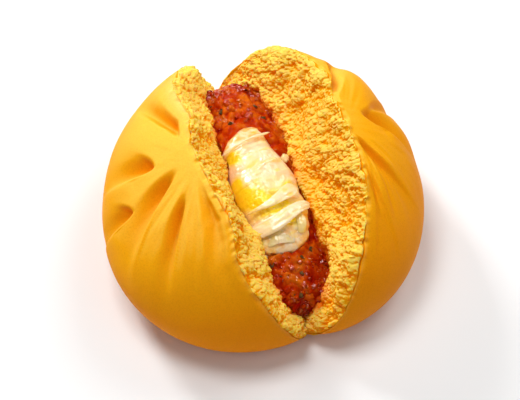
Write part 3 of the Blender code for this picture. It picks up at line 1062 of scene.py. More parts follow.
# ---------- Sub-assemblies ----------
@dataclass
class Dough:
    """The bun's skin and body, and a crumb layer over each torn face.

    Attributes:
        form: Shape of the bun.
        maker: Turns arrays into pieces.
        skin: Finish of the outside.
        crumb: Finish of the torn faces.
        rows: Grid rows of the body along the tear.
        skin_columns: Grid columns across the skin of one half.
        face_columns: Grid columns from the floor of the valley to a torn edge.
        crumb_rows: Grid rows of a crumb layer.
        crumb_columns: Grid columns of a crumb layer.
        back_step: Columns of the crumb layer for each column of its back.
        crowding: Above 1 crowds the skin's columns towards the torn edge.
        tip_spread: How much the rows are spread at the two tips.
        backing: How far the body lies below the crumb layers.
        key_side: Direction of the main light, from which the crumb's painted light and painted shadow are worked out.
        lump_kinds: Sizes of lump on the torn faces, from crag to grain.
        wave_size: Lattice spacing of the slow waves under the lumps.
        wave_height: Their height.
        cleft_floor: Depth of the relief below which clefts get shallower.
        shade_steps: Distances at which lumps that stand in the light are looked for.
        painted_light_side: Direction of the light painted on the skin, which is painted golden where it faces this
            way.
        painted_light_parts: Painted tone of the darkest skin, and the painted light that facing that side and height
            add to it.
        painted_light_height: Height at which the painted light from height is full.
        pale_rim_and_highlight: Width and strength of the pale line along the torn edge, partly the skin's own pale
            edge, partly painted highlight.
        painted_highlight_patch: Width, place along the tear, length and strength of the painted highlight on the left
            half.
        fold_depth: Depth at which a pleat has its full painted shade.
    """

    form: BunForm
    maker: MeshMaker
    skin: bpy.types.Material
    crumb: bpy.types.Material
    rows: int = 400
    skin_columns: int = 105
    face_columns: int = 12
    crumb_rows: int = 760
    crumb_columns: int = 124
    back_step: int = 31
    crowding: float = 1.35
    tip_spread: float = 0.35
    backing: float = 4.0
    key_side: np.ndarray = field(default_factory=lambda: np.array([-0.1, 0.45, 0.89]))
    lump_kinds: tuple[LumpKind, ...] = (
        LumpKind(6.0, 21, 5.0, 1.3, 11, 1.3, 0.22),
        LumpKind(2.7, 22, 2.2, 0.7, 15, 0.9, 0.36),
        LumpKind(1.25, 23, 1.1, 0.35, 17, 0.8, 0.40),
        LumpKind(0.66, 24, 0.6, 0.2, 19, 0.6, 0.38),
    )
    wave_size: float = 13.0
    wave_height: float = 2.4
    cleft_floor: float = -0.6
    shade_steps: tuple = (0.35, 0.7, 1.1, 1.6, 2.3, 3.2)
    painted_light_side: np.ndarray = field(default_factory=lambda: np.array([-0.3, 0.42, 0.86]))
    painted_light_parts: tuple = (0.08, 0.62, 0.3)
    painted_light_height: float = 48.0
    pale_rim_and_highlight: tuple = (0.012, 0.1)
    painted_highlight_patch: tuple = (0.05, 2.1, 0.25, 0.5)
    fold_depth: float = 3.5

    def row_angles(self, count: int) -> np.ndarray:
        """Angles along the tear, spread a little at the tips."""
        along = np.linspace(0.0, math.pi, count + 1)
        return along + 0.5 * self.tip_spread * np.sin(2.0 * along)

    def relief(self, points: np.ndarray) -> tuple[np.ndarray, np.ndarray]:
        """Rough crumb: slow waves plus four sizes of rounded lump, bent by a drift.

        Args:
            points: Positions on the smooth torn faces.

        Returns:
            Height in millimetres, and the painted light of each point, from 0 (painted shade) in clefts to 1 on tops.
        """
        wave = fractal_noise(points, self.wave_size, 2, 5)
        height, bright = pile_lumps(points, self.lump_kinds, 0.5)
        height = self.wave_height * wave + height
        height = np.where(height < self.cleft_floor, 0.5 * (height + self.cleft_floor), height)
        # Painted light: lighter on lump tops and wave crests, painted shade in clefts and hollows.
        return height, unit(bright + 0.22 * wave - 0.13)

    def body(self) -> bpy.types.Object:
        """One closed grid over skin, flat base and a plain face behind each crumb layer.

        Rows run along the tear and columns from the left side of the base over both halves to the right side.
        The marks are the skin's painted light, the painted shade in its pleats and its pale torn edge with painted
        highlight.

        Returns:
            The new object.
        """
        form = self.form
        columns = 2 * (self.skin_columns + self.face_columns)
        along, number = np.meshgrid(self.row_angles(self.rows), np.arange(columns + 1), indexing="ij")
        left_out = unit(1.0 - number / self.skin_columns) ** self.crowding
        right_out = unit(1.0 - (columns - number) / self.skin_columns) ** self.crowding
        across = np.clip((number - self.skin_columns) / self.face_columns - 1.0, -1.0, 1.0)
        on_left = number <= self.skin_columns
        on_right = number >= columns - self.skin_columns
        outward = np.where(on_left, left_out, right_out)
        points = form.either(on_left, lambda half: form.skin(half, along, outward))
        points = np.where((on_left | on_right)[..., None], points, form.valley(along, across))
        normal = grid_normals(points)
        sunk = smooth_step(0.0, 0.35, 1.0 - np.abs(across)) * np.sin(along) ** 0.7
        points = points - normal * (self.backing * sunk)[..., None]
        points[..., 2] = np.maximum(points[..., 2], 0.0)

        # Painted light: the skin is lighter where it faces the light and higher up, darker below.
        plain, facing, high = self.painted_light_parts
        painted_light_tone = plain + facing * unit(grid_normals(points) @ self.painted_light_side)
        painted_light_tone = painted_light_tone + high * unit(points[..., 2] / self.painted_light_height)
        turn = outward * math.pi / 2.0
        plan_y = -form.radius * np.cos(turn) * np.cos(along)
        # Painted shade in the pleats: darker where deeper, less so towards +Y where the light comes from.
        fold = form.either(
            on_left, lambda half: form.pleat_depth(half.side, half.side * form.radius * np.sin(turn), plan_y))
        fold = unit(fold / self.fold_depth) * (1.0 - 0.6 * smooth_step(0.0, 12.0, plan_y))
        fold *= smooth_step(form.pleat_foot, form.pleat_full, np.cos(turn) * np.sin(along))
        # The pale line along the torn edge is partly the skin's own, partly painted highlight; the left patch is a
        # painted highlight.
        width, strength = self.pale_rim_and_highlight
        pale = strength * np.exp(-(outward / width) ** 2)
        width, place, length, strength = self.painted_highlight_patch
        patch = strength * np.exp(-(outward / width) ** 2 - ((along - place) / length) ** 2)
        pale = pale + np.where(on_left, patch, 0.0)
        index = np.arange(painted_light_tone.size).reshape(painted_light_tone.shape)
        index[:, 0] = index[0, 0]
        index[:, -1] = index[0, -1]
        inner = slice(self.skin_columns, columns - self.skin_columns + 1)
        index[0, inner] = index[0, self.skin_columns]
        index[-1, inner] = index[-1, self.skin_columns]
        base = np.stack([index[-1], index[0]])
        faces = np.concatenate([grid_faces(index[:, ::-1]), grid_faces(base[:, ::-1])])
        column = faces[:, :3] % (columns + 1)
        torn = (column.min(axis=1) >= self.skin_columns) & (column.max(axis=1) <= columns - self.skin_columns)
        marks = {"painted_light_tone": painted_light_tone, "fold": fold, "pale": pale}
        marks |= {"painted_light_and_tone": np.full_like(painted_light_tone, 0.2), "stain": np.zeros_like(painted_light_tone)}
        return self.maker.make(
            "bun_dough", points, faces, marks, (self.skin, self.crumb), "dough", ("dough",), torn)

    def shelter(self, height: np.ndarray, points: np.ndarray, normal: np.ndarray) -> np.ndarray:
        """How much neighbouring lumps stand between each point and the main light, as a painted shadow.

        Looks along the surface towards the light at a few distances, and compares the height found there
        with the height that the ray of light has by then.

        Args:
            height: Height of the relief over the smooth face.
            points: The smooth face, rows along the tear and columns up the wall.
            normal: Its normals, out of the dough.

        Returns:
            From 0 in the light to 1 in full shade.
        """
        rows, columns = np.indices(height.shape)
        row_step, column_step = np.gradient(points, axis=0), np.gradient(points, axis=1)
        row_length = np.maximum(np.linalg.norm(row_step, axis=-1), 0.02)
        column_length = np.maximum(np.linalg.norm(column_step, axis=-1), 0.02)
        go_row = np.sum(row_step * self.key_side, axis=-1) / row_length
        go_column = np.sum(column_step * self.key_side, axis=-1) / column_length
        flat = np.sqrt(go_row ** 2 + go_column ** 2) + 1e-6
        climb = np.clip(np.sum(normal * self.key_side, axis=-1), 0.15, 1.0) / flat
        shade = np.zeros(height.shape)
        for distance in self.shade_steps:
            row = np.clip(np.rint(rows + distance * go_row / flat / row_length), 0, height.shape[0] - 1)
            column = np.clip(np.rint(columns + distance * go_column / flat / column_length), 0, height.shape[1] - 1)
            over = height[row.astype(int), column.astype(int)] - height - distance * climb
            shade = np.maximum(shade, smooth_step(-0.25, 0.25, over))
        return shade

    def layer(self, half: Half, name: str) -> bpy.types.Object:
        """Torn crumb of one half: the valley's wall with its relief, closed by a smooth back inside the dough.

        Args:
            half: Left or right half.
            name: Name of the piece.

        Returns:
            The new object.
        """
        form = self.form
        share = np.linspace(0.0, 1.0, self.crumb_columns + 1)
        along, share = np.meshgrid(self.row_angles(self.crumb_rows), share, indexing="ij")
        edge = form.sauce_edge(half, along)
        share = share + (1.0 - share) * np.maximum(edge - 0.16, 0.0)
        smooth = form.valley(along, half.side * np.maximum(share, 1e-6))
        normal = grid_normals(smooth) * half.side
        height, painted_light = self.relief(smooth)
        above = share - edge
        rise = unit(above / (1.0 - edge))
        angle, push = np.array(half.push, dtype=float).T
        lap = np.interp(np.degrees(along), angle, push) * np.exp(-((above - 0.05) / 0.09) ** 2)
        brim = half.brim * np.sin(math.pi * rise ** 1.4) ** 0.75
        window = smooth_step(-0.12, 0.02, above) * (1.0 - 0.4 * smooth_step(0.94, 1.0, share))
        tip = smooth_step(0.2 * form.hinge, 1.5 * form.hinge, np.minimum(along, math.pi - along))
        bulk = (brim + lap * smooth_step(-0.10, 0.0, above)) * np.sqrt(np.sin(along))
        edge_sink = 0.25 * smooth_step(0.9, 1.0, share) * tip
        points = smooth + normal * (height * window * tip + bulk + edge_sink)[..., None]
        points[..., 2] = np.maximum(points[..., 2], 0.3)
        # Painted light and shade: lighter facing the main light, painted shadow behind lumps, darker towards the near
        # end.
        facing = grid_normals(points) @ self.key_side * half.side - normal @ self.key_side
        painted_light = painted_light + 0.55 * facing - 0.35 * self.shelter(height, points, normal) - 0.13 * np.cos(along)
        painted_light = unit(painted_light)
        patch = 0.04 + 0.12 * unit(fractal_noise(points, 9.0, 2, 61) + 0.2)
        patch += half.smear * np.exp(-(along / 0.6) ** 2)
        stain = 1.0 - smooth_step(0.0, 1.0, above / patch)

        index = np.arange(share.size).reshape(share.shape)
        index[0] = index[0, 0]
        index[-1] = index[-1, 0]
        depth = self.backing * smooth_step(0.0, 0.5, np.sin(along)) + 0.05
        behind = (smooth - normal * depth[..., None])[:, self.back_step:-1:self.back_step]
        behind[..., 2] = np.maximum(behind[..., 2], 0.2)
        extra = share.size + np.arange(len(behind) * behind.shape[1]).reshape(behind.shape[:2])
        extra[0], extra[-1] = index[0, 0], index[-1, 0]
        back = np.concatenate([index[:, -1:], extra[:, ::-1], index[:, :1]], axis=1)
        order = slice(None, None, -half.side)
        faces = np.concatenate([grid_faces(index[:, order]), grid_faces(back[:, order])])
        points = np.concatenate([points.reshape(-1, 3), behind.reshape(-1, 3)])
        blank = np.zeros(extra.size)
        marks = {"painted_light_and_tone": np.concatenate([painted_light.ravel(), blank]), "stain": np.concatenate([stain.ravel(), blank])}
        return self.maker.make(name, points, faces, marks, (self.crumb,), "dough", ("dough",))


@dataclass
class Sauce:
    """The tomato bed in the valley, with softer bits of tomato on it.

    Attributes:
        form: Shape of the bun.
        maker: Turns arrays into pieces.
        material: Finish of bed and bits.
        rows: Grid rows along the tear.
        columns: Grid columns across it.
        lump_kinds: Sizes of lump on the bed.
        herb_places: X and y of the larger herb flakes.
        top: The finished lid, on which the small things are put.
        cheese_span: Y between which cheese lies on the lid, and the x up to which it does.
        end_share: How close to its pointed ends the bed is drawn.
        overlap: How far the lid runs into the walls, compared with its own width.
    """

    form: BunForm
    maker: MeshMaker
    material: bpy.types.Material
    rows: int = 340
    columns: int = 90
    lump_kinds: tuple[LumpKind, ...] = (
        LumpKind(4.6, 52, 3.0, 0.9, 51, 1.5, 0.25),
        LumpKind(2.2, 53, 3.0, 0.9, 51, 1.3, 0.45),
        LumpKind(1.1, 54, 1.0, 0.3, 57, 0.6, 0.30),
    )
    herb_places: tuple = ((-8.1, 26.5), (2.3, 25.5), (-6.8, 20.6), (3.5, 20.6), (-7.9, -28.4), (-0.2, -33.0),
                          (1.2, -28.3), (4.5, -26.4), (-2.0, -38.0), (-4.5, -24.5))
    top: np.ndarray = field(init=False)
    cheese_span: tuple = (-27.0, 19.0, 6.5)
    end_share: float = 0.995
    overlap: float = 1.06

    def build(self) -> bpy.types.Object:
        """Make the bed: a lumpy lid over a smooth underside that rests in the dough.

        The lid is the form's vault plus three sizes of rounded lump.

        Returns:
            The new object.
        """
        share, across = np.meshgrid(self.end_share * sine_steps(self.rows), sine_steps(self.columns), indexing="ij")
        top = self.form.lid(share, across * self.overlap)
        height, bright = pile_lumps(top, self.lump_kinds, 0.45)
        top[..., 2] += height * np.sqrt(unit(1.0 - share ** 2)) * (1.0 - 0.6 * across ** 4)
        along = self.form.row_of(share)
        reach = self.form.either(across < 0.0, lambda half: self.form.sauce_edge(half, along))
        bottom = self.form.valley(along, across * reach)
        bottom[..., 2] -= 1.0 - 0.9 * across ** 2
        bottom[..., 2] = np.maximum(bottom[..., 2], 1.0)
        points, faces = pillow(top, bottom)
        # The lumps' light share is kept as painted light and shade for the finish.
        bright = unit(bright)
        marks = np.concatenate([bright.ravel(), bright[1:-1, 1:-1].ravel()])
        self.top = top
        return self.maker.make(
            "tomato_sauce", points, faces, {"painted_light_and_tone": marks}, (self.material,), "sauce", ("sauce",))

    def pieces(
        self, name: str, material: bpy.types.Material, count: int, sizes: tuple[float, float], seed: int
    ) -> bpy.types.Object:
        """Rough balls, most of them small, sunk halfway into the bed where no cheese lies on it.

        Args:
            name: Name of the piece.
            material: Its finish.
            count: How many balls there are.
            sizes: Least and greatest radius.
            seed: Seed of their places.

        Returns:
            The new object.
        """
        turns = np.random.default_rng(seed)
        inner = self.top[8:-8, 8:-8].reshape(-1, 3)
        near, far, side = self.cheese_span
        inner = inner[(inner[:, 1] > far) | (inner[:, 1] < near) | (inner[:, 0] > side)]
        size = sizes[0] + (sizes[1] - sizes[0]) * turns.random(count) ** 2.5
        centres = inner[turns.choice(len(inner), count, replace=False)]
        centres = centres - spot(0.0, 0.0, size * turns.uniform(0.3, 0.8, count))
        points, faces, owner = scatter_blobs(centres, size, turns, 10, 15, 0.5, 0.3)
        marks = {"painted_light_and_tone": turns.uniform(0.2, 0.9, count)[owner]}
        return self.maker.make(name, points, faces, marks, (material,), "sauce", ("sauce",))

    def herbs(self, material: bpy.types.Material) -> bpy.types.Object:
        """Flakes of dried herb: the larger ones at named places and small ones all over the bed.

        Args:
            material: Their finish.

        Returns:
            The new object.
        """
        turns = np.random.default_rng(8)
        named = np.array(self.herb_places)
        loose = self.top[12:-12, 12:-12].reshape(-1, 3)
        loose = loose[turns.choice(len(loose), 26, replace=False)][:, :2]
        places = self.seat(np.concatenate([named, loose]))
        places[:, 2] += 0.12
        size = np.concatenate([turns.uniform(0.5, 0.85, len(named)), turns.uniform(0.12, 0.28, len(loose))])
        points, faces, _ = scatter_blobs(places, size, turns, 6, 9, 0.5, 0.5)
        return self.maker.make("herb_flakes", points, faces, {}, (material,), "sauce", ("sauce",))

    def seat(self, places: np.ndarray) -> np.ndarray:
        """Put places in plan onto the lid: the nearest grid vertex gives the height.

        Args:
            places: Rows of x and y.

        Returns:
            Rows of x, y and z.
        """
        plan = self.top.reshape(-1, 3)
        gap = np.sum((plan[None, :, :2] - places[:, None, :2]) ** 2, axis=-1)
        return np.concatenate([places[:, :2], plan[np.argmin(gap, axis=1), 2:]], axis=1)


# Each ribbon of cheese: knots of x, y, z and width along it, its thickness and how yellow it is.
STRANDS = (
    (((-12.8, 8.4, 26.2, 0.5), (-9.8, 9.4, 27.6, 1.2), (-6.8, 10.1, 28.4, 0.9), (-4.0, 10.9, 28.3, 0.5),
      (-1.3, 11.6, 27.9, 0.9), (3.2, 13.0, 26.0, 0.7)), 0.5, 0.0),
    (((-11.8, -13.3, 26.6, 0.3), (-7.8, -13.3, 28.4, 1.2), (-4.4, -12.9, 29.3, 2.2), (-1.5, -11.9, 29.5, 3.2),
      (1.5, -10.4, 29.2, 4.2), (5.0, -8.4, 27.8, 4.6)), 0.8, 0.05),
    (((-12.2, -19.2, 24.8, 3.6), (-8.2, -19.7, 27.2, 4.6), (-4.2, -19.3, 28.6, 4.8), (0.4, -17.6, 29.4, 4.2),
      (3.6, -16.3, 29.2, 3.6), (7.2, -14.9, 27.6, 3.0)), 0.9, 0.0),
    (((-10.4, -23.6, 23.0, 1.5), (-7.0, -22.8, 25.2, 3.6), (-3.4, -22.4, 25.8, 4.4),
      (1.6, -23.4, 24.2, 3.4)), 0.5, 0.2),
    (((2.2, -16.4, 26.4, 1.4), (3.2, -18.4, 27.2, 2.6), (3.4, -20.4, 26.8, 2.8), (2.6, -22.8, 25.0, 1.8)), 1.0, 0.25),
)


@dataclass
class Cheese:
    """Melted cheese: a folded body with separate ribbons and a string drawn over it.

    Attributes:
        form: Shape of the bun.
        maker: Turns arrays into pieces.
        material: Finish of all of it.
        rows: Grid rows along the tear.
        columns: Grid columns across it.
        left_edge: Y and x along the body's left edge.
        right_edge: The same along its right edge.
        near: Y of its near end.
        far: Y of its far end.
        rest: Height of its underside, inside the sauce.
        pools: X, y and radius of each spot of clear yellow.
        creases: Y at x = -3, slope, half width and depth of each crease under a ribbon.
        border_height: Height of the body's border.
        crown: Rise of its middle.
        onion_places: X, y and z of the bits of onion.
        onion_sizes: Their radii.
        strand_rows: Grid rows along a ribbon.
        strand_sides: Faces round a ribbon.
    """

    form: BunForm
    maker: MeshMaker
    material: bpy.types.Material
    rows: int = 260
    columns: int = 130
    left_edge: tuple = ((-27, -11.0), (-22, -12.4), (-14, -11.0), (-10, -11.5), (-4, -13.2), (2, -12.6),
                        (7, -11.6), (11, -12.2), (14, -10.2), (16.5, -7.0), (19, -5.0))
    right_edge: tuple = ((-27, 4.0), (-22, 5.5), (-18, 6.6), (-13, 7.6), (-8, 6.6), (-4, 7.0), (0, 6.4),
                         (5, 4.4), (9, 2.8), (12, 2.2), (15, 1.8), (19, 0.8))
    near: float = -26.5
    far: float = 18.5
    rest: float = 20.0
    pools: tuple = ((-9.6, 7.2, 2.6), (-11.6, -2.0, 2.2), (-10.6, -7.0, 3.4), (-6.0, -9.8, 3.8), (-2.2, -12.6, 2.8),
                    (3.4, -7.0, 1.8), (1.0, -18.6, 1.8))
    creases: tuple = ((-14.2, 0.10, 1.2, 1.1), (-19.5, 0.35, 1.4, 0.8))
    border_height: float = 22.2
    crown: float = 5.4
    onion_places: tuple = ((5.4, 4.0, 24.0), (-11.0, -24.6, 22.9), (-9.6, -26.2, 22.3))
    onion_sizes: tuple = (1.3, 1.1, 0.8)
    strand_rows: int = 90
    strand_sides: int = 40

    def make(
        self, name: str, points: np.ndarray, faces: np.ndarray, marks: dict[str, np.ndarray]
    ) -> bpy.types.Object:
        """Make one piece of the cheese."""
        return self.maker.make(name, points, faces, marks, (self.material,), "cheese", ("cheese",))

    def crease_off(self, x: np.ndarray, y: np.ndarray, middle: float, slope: float) -> np.ndarray:
        """How far places lie from a crease, along +Y."""
        return y - middle - slope * (x + 3.0)

    def ends(self, y: np.ndarray) -> np.ndarray:
        """Place along the body, -1 at its near end and 1 at its far end."""
        return (2.0 * y - self.near - self.far) / (self.far - self.near)

    def outline(self, y: np.ndarray) -> tuple[np.ndarray, np.ndarray]:
        """Left and right edge of the body at each y."""
        left_y, left_x = np.array(self.left_edge, dtype=float).T
        right_y, right_x = np.array(self.right_edge, dtype=float).T
        return np.interp(y, left_y, left_x), np.interp(y, right_y, right_x)

    def pool_and_crease_shade(self, points: np.ndarray) -> np.ndarray:
        """How yellow each point is: soft spots at the pools, yellow painted shade along the creases, broken up by
        noise.
        """
        total = np.zeros(points.shape[:-1])
        for x, y, radius in self.pools:
            total += np.exp(-((points[..., 0] - x) ** 2 + (points[..., 1] - y) ** 2) / radius ** 2)
        # Painted shade: the creases under the ribbons are coloured yellow.
        crease = np.zeros(points.shape[:-1])
        for middle, slope, width, _ in self.creases:
            off = self.crease_off(points[..., 0], points[..., 1], middle, slope)
            crease += np.exp(-(off / (1.3 * width)) ** 2)
        return unit(total * 1.5 + 0.6 * crease + 0.45 * fractal_noise(points, 4.0, 3, 91))

    @staticmethod
    def fibre(x: np.ndarray, y: np.ndarray) -> np.ndarray:
        """Fine drawn-out fibres from 0 to 1: ridged noise, stretched along the way the cheese was pulled."""
        bent = drift(spot(x, y), 7.0, 2.2, 81)
        stretched = spot(bent[..., 0] * 0.22, bent[..., 1] - 0.30 * bent[..., 0])
        broad = 1.0 - np.abs(value_noise(stretched, 1.6, 84))
        return unit(0.6 * broad + 0.4 * (1.0 - np.abs(value_noise(stretched, 0.7, 90))))

    def surface(self, x: np.ndarray, y: np.ndarray) -> np.ndarray:
        """Height of the top: a vault with long diagonal folds and creases under the ribbons.

        Args:
            x: X of the places.
            y: Y of the places.

        Returns:
            Z of the top.
        """
        left, right = self.outline(y)
        side = np.clip((2.0 * x - left - right) / (right - left), -1.0, 1.0)
        end = np.clip(self.ends(y), -1.0, 1.0)
        vault = np.sqrt(unit(1.0 - np.abs(side) ** 2.4))
        vault = vault * unit(1.0 - np.abs(end) ** 4) ** 0.6
        place = spot(x, y)
        bent = drift(place, 7.0, 2.2, 81)
        folds = 1.0 - np.abs(value_noise(spot(bent[..., 0] * 0.35, bent[..., 1] - 0.30 * bent[..., 0]), 4.2, 83))
        swell = fractal_noise(place, 8.0, 2, 85)
        grit = lumps(drift(place, 1.5, 0.5, 87), 1.3, 88) * smooth_step(-0.1, 0.4, value_noise(place, 5.0, 89))
        height = 1.2 * (folds - 0.7) + 0.4 * (self.fibre(x, y) - 0.5) + 0.9 * swell + 0.55 * grit
        height = self.border_height + (self.crown + height) * vault
        for middle, slope, width, depth in self.creases:
            height = height - depth * vault * np.exp(-(self.crease_off(x, y, middle, slope) / width) ** 2)
        return height

    def build(self) -> bpy.types.Object:
        """Make the body as a pillow over the sauce, with ragged edges that are tinted where they thin out.

        Returns:
            The new object.
        """
        y = 0.5 * (self.near + self.far) + 0.5 * (self.far - self.near) * sine_steps(self.rows)
        y, side = np.meshgrid(y, sine_steps(self.columns), indexing="ij")
        left, right = self.outline(y)
        end = self.ends(y)
        narrow = unit(1.0 - np.abs(end) ** 9) ** 0.5 * 0.97 + 0.03
        ragged = fractal_noise(spot(30.0 * np.sign(side), y), 3.0, 2, 92)
        x = 0.5 * (left + right) + (0.5 * (right - left) + 1.1 * ragged) * side * narrow
        y = y + 0.9 * (1.0 - side ** 2) * end ** 3 + 0.5 * value_noise(spot(x, y), 3.0, 86)
        top = spot(x, y, self.surface(x, y))
        bottom = spot(x, y, self.rest)
        points, faces = pillow(top, bottom)
        border = smooth_step(0.82, 1.0, side)
        border = border + 1.3 * smooth_step(0.45, 0.9, end) + 0.9 * smooth_step(0.45, 0.95, -end)
        tint = np.clip(border * (0.35 + 1.2 * fractal_noise(top, 1.3, 3, 93)), 0.0, 0.8)
        marks = {
            "pool_and_crease_shade": self.pool_and_crease_shade(points),
            "fibre": self.fibre(points[:, 0], points[:, 1]),
            "tint": np.concatenate([tint.ravel(), tint[1:-1, 1:-1].ravel()]),
        }
        return self.make("melted_cheese", points, faces, marks)

    def onion(self) -> bpy.types.Object:
        """Three soft bits of onion, where the cheese meets the sauce."""
        places, sizes = np.array(self.onion_places), np.array(self.onion_sizes)
        points, faces, _ = scatter_blobs(places, sizes, np.random.default_rng(3), 14, 20, 0.4, 0.25)
        marks = {key: np.full(len(points), value) for key, value in (("pool_and_crease_shade", 0.0), ("fibre", 0.8), ("tint", 0.45))}
        return self.make("onion_bits", points, faces, marks)

    def strands(self) -> bpy.types.Object:
        """Ribbons and a string as one piece, each a flattened tube along a curve."""
        parts = [self.strand(number, *shape) for number, shape in enumerate(STRANDS)]
        starts = np.cumsum([0] + [len(points) for points, _, _ in parts[:-1]])
        points = np.concatenate([part[0] for part in parts])
        faces = np.concatenate([part[1] + start for part, start in zip(parts, starts)])
        marks = {key: np.concatenate([part[2][key] for part in parts]) for key in parts[0][2]}
        return self.make("cheese_strands", points, faces, marks)

    def strand(
        self, number: int, knots: tuple, thickness: float, yellow: float
    ) -> tuple[np.ndarray, np.ndarray, dict[str, np.ndarray]]:
        """One flattened tube with fine lengthwise fibres.

        Args:
            number: Its number, which seeds the fibres.
            knots: Rows of x, y, z and width along it.
            thickness: Its greatest thickness.
            yellow: How yellow it is.

        Returns:
            Vertices, faces and the numbers that the finish reads at each vertex.
        """
        rows, sides = self.strand_rows, self.strand_sides
        path = curve(np.array(knots, dtype=float), rows)
        centre, width = path[:, :3], path[:, 3]
        tangent = np.gradient(centre, axis=0)
        tangent /= np.linalg.norm(tangent, axis=1, keepdims=True)
        side = np.cross(tangent, np.array([-0.15, -0.2, 1.0]))
        side /= np.linalg.norm(side, axis=1, keepdims=True)
        upward = np.cross(side, tangent)
        around = np.arange(sides) * 2.0 * math.pi / sides
        step, around = np.meshgrid(np.linspace(0.0, 1.0, rows), around, indexing="ij")
        taper = unit(np.sin(math.pi * np.clip(step, 0.004, 0.996)) * 6.0) ** 0.5
        reach = 0.5 * width[:, None] * np.cos(around)
        fibres = value_noise(spot(reach, step * 4.0, 5.0 * number), 0.55, 95)
        sway = value_noise(spot(step * 9.0, 0.3 * reach, 9.0 * number), 1.6, 96)
        lift = 0.5 * thickness * np.sin(around) * taper + (0.14 * fibres + 0.35 * sway) * np.minimum(thickness, 1.0)
        points = centre[:, None] + side[:, None] * (reach * taper)[..., None] + upward[:, None] * lift[..., None]
        ring = np.arange(rows * sides).reshape(rows, sides)
        ring = np.concatenate([ring, ring[:, :1]], axis=1)
        ends = np.stack([points[0].mean(axis=0), points[-1].mean(axis=0)])
        first = np.full((1, sides + 1), rows * sides)
        index = np.concatenate([first, ring, first + 1])
        points = np.concatenate([points.reshape(-1, 3), ends])
        marks = {
            "pool_and_crease_shade": unit(yellow + 0.25 * fractal_noise(points, 3.0, 2, 97)),
            "fibre": np.append(0.6 + 0.5 * fibres.ravel(), [0.5, 0.5]),
            "tint": np.append((0.25 * (2.0 * step - 1.0) ** 6).ravel(), [0.25, 0.25]),
        }
        return points, grid_faces(index[:, ::-1]), marks


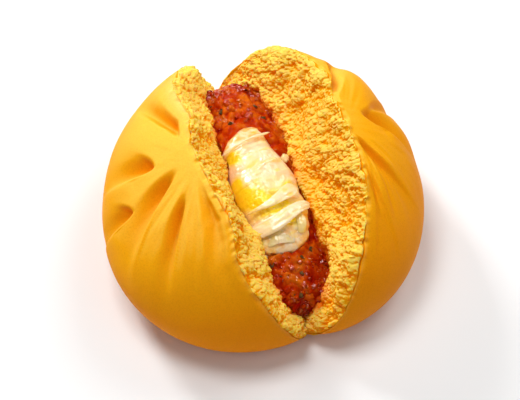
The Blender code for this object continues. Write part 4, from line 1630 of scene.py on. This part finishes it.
@dataclass
class Studio:
    """Pale floor, soft lights and the camera.

    Attributes:
        maker: Its shift is the place that the camera is aimed at.
        lamps: Name, place in metres, side in metres and power in watts of each square lamp.
        lamp_target: The point that the lamps shine at, in metres.
        floor_half: Half the side of the floor, in metres.
        floor_tone: How pale the floor is.
        sky_strength: Strength of the even pale surroundings.
        azimuth: Angle of the camera from -Y towards -X.
        elevation: Angle of the camera above the floor.
        distance: Distance of the camera from its target, in metres.
        target_height: Height of the target above the floor, in metres.
        pixels_per_mm: Scale of the picture at the target.
        picture: Width and height of the picture in pixels.
        target_pixel: Where the target lies in the picture.
        sensor: Width of the sensor in millimetres.
    """

    maker: MeshMaker
    lamps: tuple = (
        ("back", (-0.31, 0.66, 0.53), 0.2, 4.4),
        ("right", (0.54, 0.27, 0.67), 0.45, 3.2),
        ("top", (-0.14, 0.14, 0.88), 0.3, 3.6),
        ("front_left", (-0.45, -0.4, 0.67), 0.6, 1.1),
        ("front_right", (0.37, -0.37, 0.73), 0.6, 1.0),
    )
    lamp_target: tuple = (0.0, 0.0, 0.02)
    floor_half: float = 4.0
    floor_tone: float = 0.9
    sky_strength: float = 0.05
    azimuth: float = math.radians(15.895)
    elevation: float = math.radians(58.637)
    distance: float = 0.7
    target_height: float = 0.025
    pixels_per_mm: float = 3.383
    picture: tuple = (520.0, 400.0)
    target_pixel: tuple = (271.3, 171.84)
    sensor: float = 36.0

    def build(self) -> None:
        """Make floor, surroundings, lamps and camera."""
        self.floor()
        self.sky()
        for lamp in self.lamps:
            self.lamp(*lamp)
        self.camera()

    def floor(self) -> None:
        """A wide pale sheet under the bun."""
        mesh = bpy.data.meshes.new("floor")
        half = self.floor_half
        mesh.from_pydata([(-half, -half, 0), (half, -half, 0), (half, half, 0), (-half, half, 0)], [], [(0, 1, 2, 3)])
        tree = NodeTree("pale_floor")
        tree.feed(tree.shader.inputs["Base Color"], (self.floor_tone,) * 3)
        tree.feed(tree.shader.inputs["Roughness"], 0.9)
        mesh.materials.append(tree.material)
        sheet = bpy.data.objects.new("floor", mesh)
        bpy.context.scene.collection.objects.link(sheet)

    def sky(self) -> None:
        """Even pale surroundings."""
        world = bpy.data.worlds.new("studio")
        world.use_nodes = True
        back = world.node_tree.nodes["Background"]
        back.inputs["Color"].default_value = (1.0, 1.0, 1.0, 1.0)
        back.inputs["Strength"].default_value = self.sky_strength
        bpy.context.scene.world = world

    def lamp(self, name: str, place: tuple, size: float, power: float) -> None:
        """A square soft lamp aimed at the bun.

        Args:
            name: Name of the lamp.
            place: Where it hangs, in metres.
            size: Side of the square, in metres.
            power: Power in watts.
        """
        lamp = bpy.data.lights.new(name, "AREA")
        lamp.size = size
        lamp.energy = power
        back = np.array(place) - np.array(self.lamp_target)
        self.hang(name, lamp, np.array(place), back, np.array([0.0, 1.0, 0.0]))

    @staticmethod
    def hang(name: str, thing: bpy.types.ID, place: np.ndarray, back: np.ndarray, up: np.ndarray) -> bpy.types.Object:
        """Put a lamp or camera at a place, looking against back, with its +Y leaning towards up.

        Args:
            name: Name of the new object.
            thing: The lamp's or camera's data.
            place: Where it goes, in metres.
            back: Direction from what it looks at to itself.
            up: Direction that is up for it.

        Returns:
            The new object.
        """
        back = back / np.linalg.norm(back)
        right = np.cross(up, back)
        right = right / np.linalg.norm(right)
        matrix = np.eye(4)
        matrix[:3] = np.column_stack([right, np.cross(back, right), back, place])
        holder = bpy.data.objects.new(name, thing)
        holder.matrix_world = Matrix(matrix.tolist())
        bpy.context.scene.collection.objects.link(holder)
        return holder

    def camera(self) -> None:
        """Look down along the tear from the near left, from the distance of a product shot."""
        turn, rise = self.azimuth, self.elevation
        back = np.array([-math.sin(turn) * math.cos(rise), -math.cos(turn) * math.cos(rise), math.sin(rise)])
        right = np.array([math.cos(turn), -math.sin(turn), 0.0])
        up = np.cross(back, right)
        pixel = MM / self.pixels_per_mm
        place = self.maker.shift + np.array([0.0, 0.0, self.target_height]) + back * self.distance
        place = place + right * (self.picture[0] / 2.0 - self.target_pixel[0]) * pixel
        place = place + up * (self.target_pixel[1] - self.picture[1] / 2.0) * pixel
        lens = bpy.data.cameras.new("camera")
        lens.sensor_width = self.sensor
        lens.lens = self.sensor * self.distance / (pixel * self.picture[0])
        lens.clip_end = 20.0
        bpy.context.scene.camera = self.hang("camera", lens, place, back, up)
        bpy.context.scene.view_settings.view_transform = "Standard"


def main() -> None:
    """Build every sub-assembly and report it."""
    logging.basicConfig(level=logging.INFO, format="%(message)s")
    form = BunForm()
    maker = MeshMaker()
    dough = Dough(form, maker, SkinFinish().build(), CrumbFinish().build())
    dough.body()
    dough.layer(form.left, "crumb_left")
    dough.layer(form.right, "crumb_right")
    sauce = Sauce(form, maker, SauceFinish().build())
    sauce.build()
    sauce.pieces("tomato_bits", sauce.material, 130, (0.5, 1.3), 12)
    juice = SauceFinish(name="tomato_juice", roughness=0.06, shine=0.9).build()
    sauce.pieces("juice_beads", juice, 520, (0.25, 1.2), 31)
    sauce.herbs(HerbFinish().build())
    cheese = Cheese(form, maker, CheeseFinish().build())
    cheese.build()
    cheese.strands()
    cheese.onion()
    Studio(maker).build()


if __name__ == "__main__":
    main()
